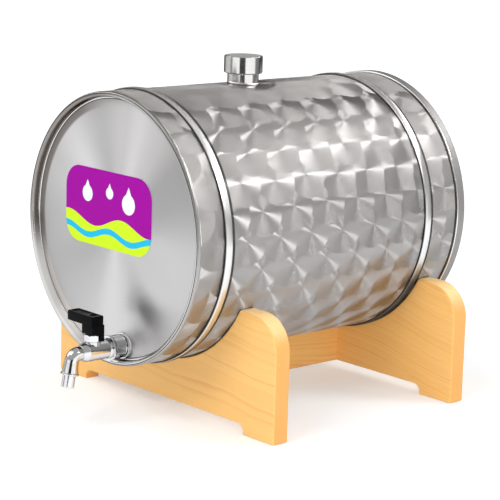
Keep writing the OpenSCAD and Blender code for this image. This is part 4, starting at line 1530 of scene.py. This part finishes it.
def make_stage(stage):
    """Floor, studio walls, lamps, world and camera."""
    bm = bmesh.new()
    bmesh.ops.create_grid(bm, x_segments=1, y_segments=1, size=stage.floor_size / 2)
    floor = shown("pale_floor", bm, [floor_finish(stage)])
    floor.location.z = -0.1 * MM
    bm = bmesh.new()
    bmesh.ops.create_uvsphere(bm, u_segments=64, v_segments=32, radius=stage.wall_distance)
    walls = shown("studio_walls", bm, [wall_finish(stage)])
    walls.location = (0.0, STAGE_MIDDLE_Y, AXIS_Z)
    only_in_reflections(walls)
    make_world()
    aim = (0.0, STAGE_MIDDLE_Y, 0.18)
    make_lamp("key_lamp", (0.4, -2.3, 2.3), aim, (1.8, 1.4), 34)
    make_lamp("side_lamp", (1.6, 1.5, 1.5), aim, (0.9, 1.6), 22)
    make_lamp("left_lamp", (-2.2, -0.9, 1.3), aim, (1.2, 1.6), 12)
    gleam = make_lamp("gleam_lamp", (0.78, -0.80, 0.86), aim, (0.30, 0.30), 13, gleam=True)
    gleam.light_linking.receiver_collection = bpy.data.collections.new(GLEAMING)
    make_lamp("low_lamp", (1.9, -1.1, 0.32), (0.0, 0.0, 0.08), (1.4, 0.5), 16)
    camera = bpy.data.cameras.new("camera")
    camera.lens = stage.camera_lens
    camera.sensor_width = 36.0
    camera.clip_end = 100.0
    holder = bpy.data.objects.new("camera", camera)
    bpy.context.scene.collection.objects.link(holder)
    holder.matrix_world = (
        Matrix.Translation(Vector(stage.camera_place))
        @ Matrix.Rotation(stage.camera_yaw, 4, "Z")
        @ Matrix.Rotation(math.pi / 2 - stage.camera_pitch, 4, "X")
        @ Matrix.Rotation(stage.camera_roll, 4, "Z")
    )
    bpy.context.scene.camera = holder
    bpy.context.scene.view_settings.view_transform = "Standard"


# Operators

class DRINKBARREL_OT_stage(Operator):
    """Set the floor, walls, lamps and camera"""

    bl_idname = "drink_barrel.stage"
    bl_label = "Set the Stage"

    def execute(self, context):
        make_stage(context.scene.barrel_stage)
        return {"FINISHED"}


class DRINKBARREL_OT_shell(Operator):
    """Roll the shell with its hoops"""

    bl_idname = "drink_barrel.shell"
    bl_label = "Roll the Shell"

    def execute(self, context):
        make_shell(context.scene.barrel_steel)
        return {"FINISHED"}


class DRINKBARREL_OT_heads(Operator):
    """Press the two end discs"""

    bl_idname = "drink_barrel.heads"
    bl_label = "Press the End Discs"

    def execute(self, context):
        make_front_head(context.scene.barrel_steel)
        make_rear_head(context.scene.barrel_steel)
        return {"FINISHED"}


class DRINKBARREL_OT_label(Operator):
    """Stick the label on the front disc"""

    bl_idname = "drink_barrel.label"
    bl_label = "Stick the Label"

    def execute(self, context):
        make_label(context.scene.barrel_label)
        return {"FINISHED"}


class DRINKBARREL_OT_filler(Operator):
    """Weld the filler neck and screw its cap on"""

    bl_idname = "drink_barrel.filler"
    bl_label = "Weld the Filler"

    def execute(self, context):
        make_filler(context.scene.barrel_steel, context.scene.barrel_tap)
        make_cap(context.scene.barrel_steel, context.scene.barrel_tap)
        return {"FINISHED"}


class DRINKBARREL_OT_tap(Operator):
    """Turn the tap's metal pieces"""

    bl_idname = "drink_barrel.tap"
    bl_label = "Turn the Tap"

    def execute(self, context):
        make_tap(context.scene.barrel_tap)
        return {"FINISHED"}


class DRINKBARREL_OT_lever(Operator):
    """Mould the lever and drive its screw"""

    bl_idname = "drink_barrel.lever"
    bl_label = "Mould the Lever"

    def execute(self, context):
        make_lever(context.scene.barrel_tap)
        return {"FINISHED"}


class DRINKBARREL_OT_stand(Operator):
    """Saw the cradle boards and the stretcher"""

    bl_idname = "drink_barrel.stand"
    bl_label = "Saw the Stand"

    def execute(self, context):
        make_stand(context.scene.barrel_stand, context.scene.barrel_steel)
        return {"FINISHED"}


class DRINKBARREL_OT_inner(Operator):
    """Finish the pieces inside the barrel and the tap"""

    bl_idname = "drink_barrel.inner"
    bl_label = "Finish the Inner Pieces"

    def execute(self, context):
        finish_inner_pieces(context.scene.barrel_steel)
        return {"FINISHED"}


OPERATORS = (
    DRINKBARREL_OT_stage,
    DRINKBARREL_OT_shell,
    DRINKBARREL_OT_heads,
    DRINKBARREL_OT_label,
    DRINKBARREL_OT_filler,
    DRINKBARREL_OT_tap,
    DRINKBARREL_OT_lever,
    DRINKBARREL_OT_stand,
    DRINKBARREL_OT_inner,
)
SETTINGS = {
    "barrel_steel": BarrelSettings,
    "barrel_tap": TapSettings,
    "barrel_stand": StandSettings,
    "barrel_label": LabelSettings,
    "barrel_stage": StageSettings,
}


class DRINKBARREL_PT_sidebar(Panel):
    """Lists the steps that dress the barrel, and their settings"""

    bl_idname = "DRINKBARREL_PT_sidebar"
    bl_label = "Drink Barrel"
    bl_space_type = "VIEW_3D"
    bl_region_type = "UI"
    bl_category = "Drink Barrel"

    def draw(self, context):
        for operator in OPERATORS:
            self.layout.operator(operator.bl_idname)
        for holder, group in SETTINGS.items():
            column = self.layout.column(heading=group.__doc__)
            for name in group.__annotations__:
                column.prop(getattr(context.scene, holder), name)


def register():
    for kind in (*SETTINGS.values(), *OPERATORS, DRINKBARREL_PT_sidebar):
        bpy.utils.register_class(kind)
    for holder, group in SETTINGS.items():
        setattr(bpy.types.Scene, holder, PointerProperty(type=group))


def unregister():
    for holder in SETTINGS:
        delattr(bpy.types.Scene, holder)
    for kind in reversed((*SETTINGS.values(), *OPERATORS, DRINKBARREL_PT_sidebar)):
        bpy.utils.unregister_class(kind)


def main():
    """Registers the add-on, dresses the barrel and writes both boxes."""
    register()
    for operator in OPERATORS:
        group, step = operator.bl_idname.split(".")
        getattr(getattr(bpy.ops, group), step)()


if __name__ == "__main__":
    main()
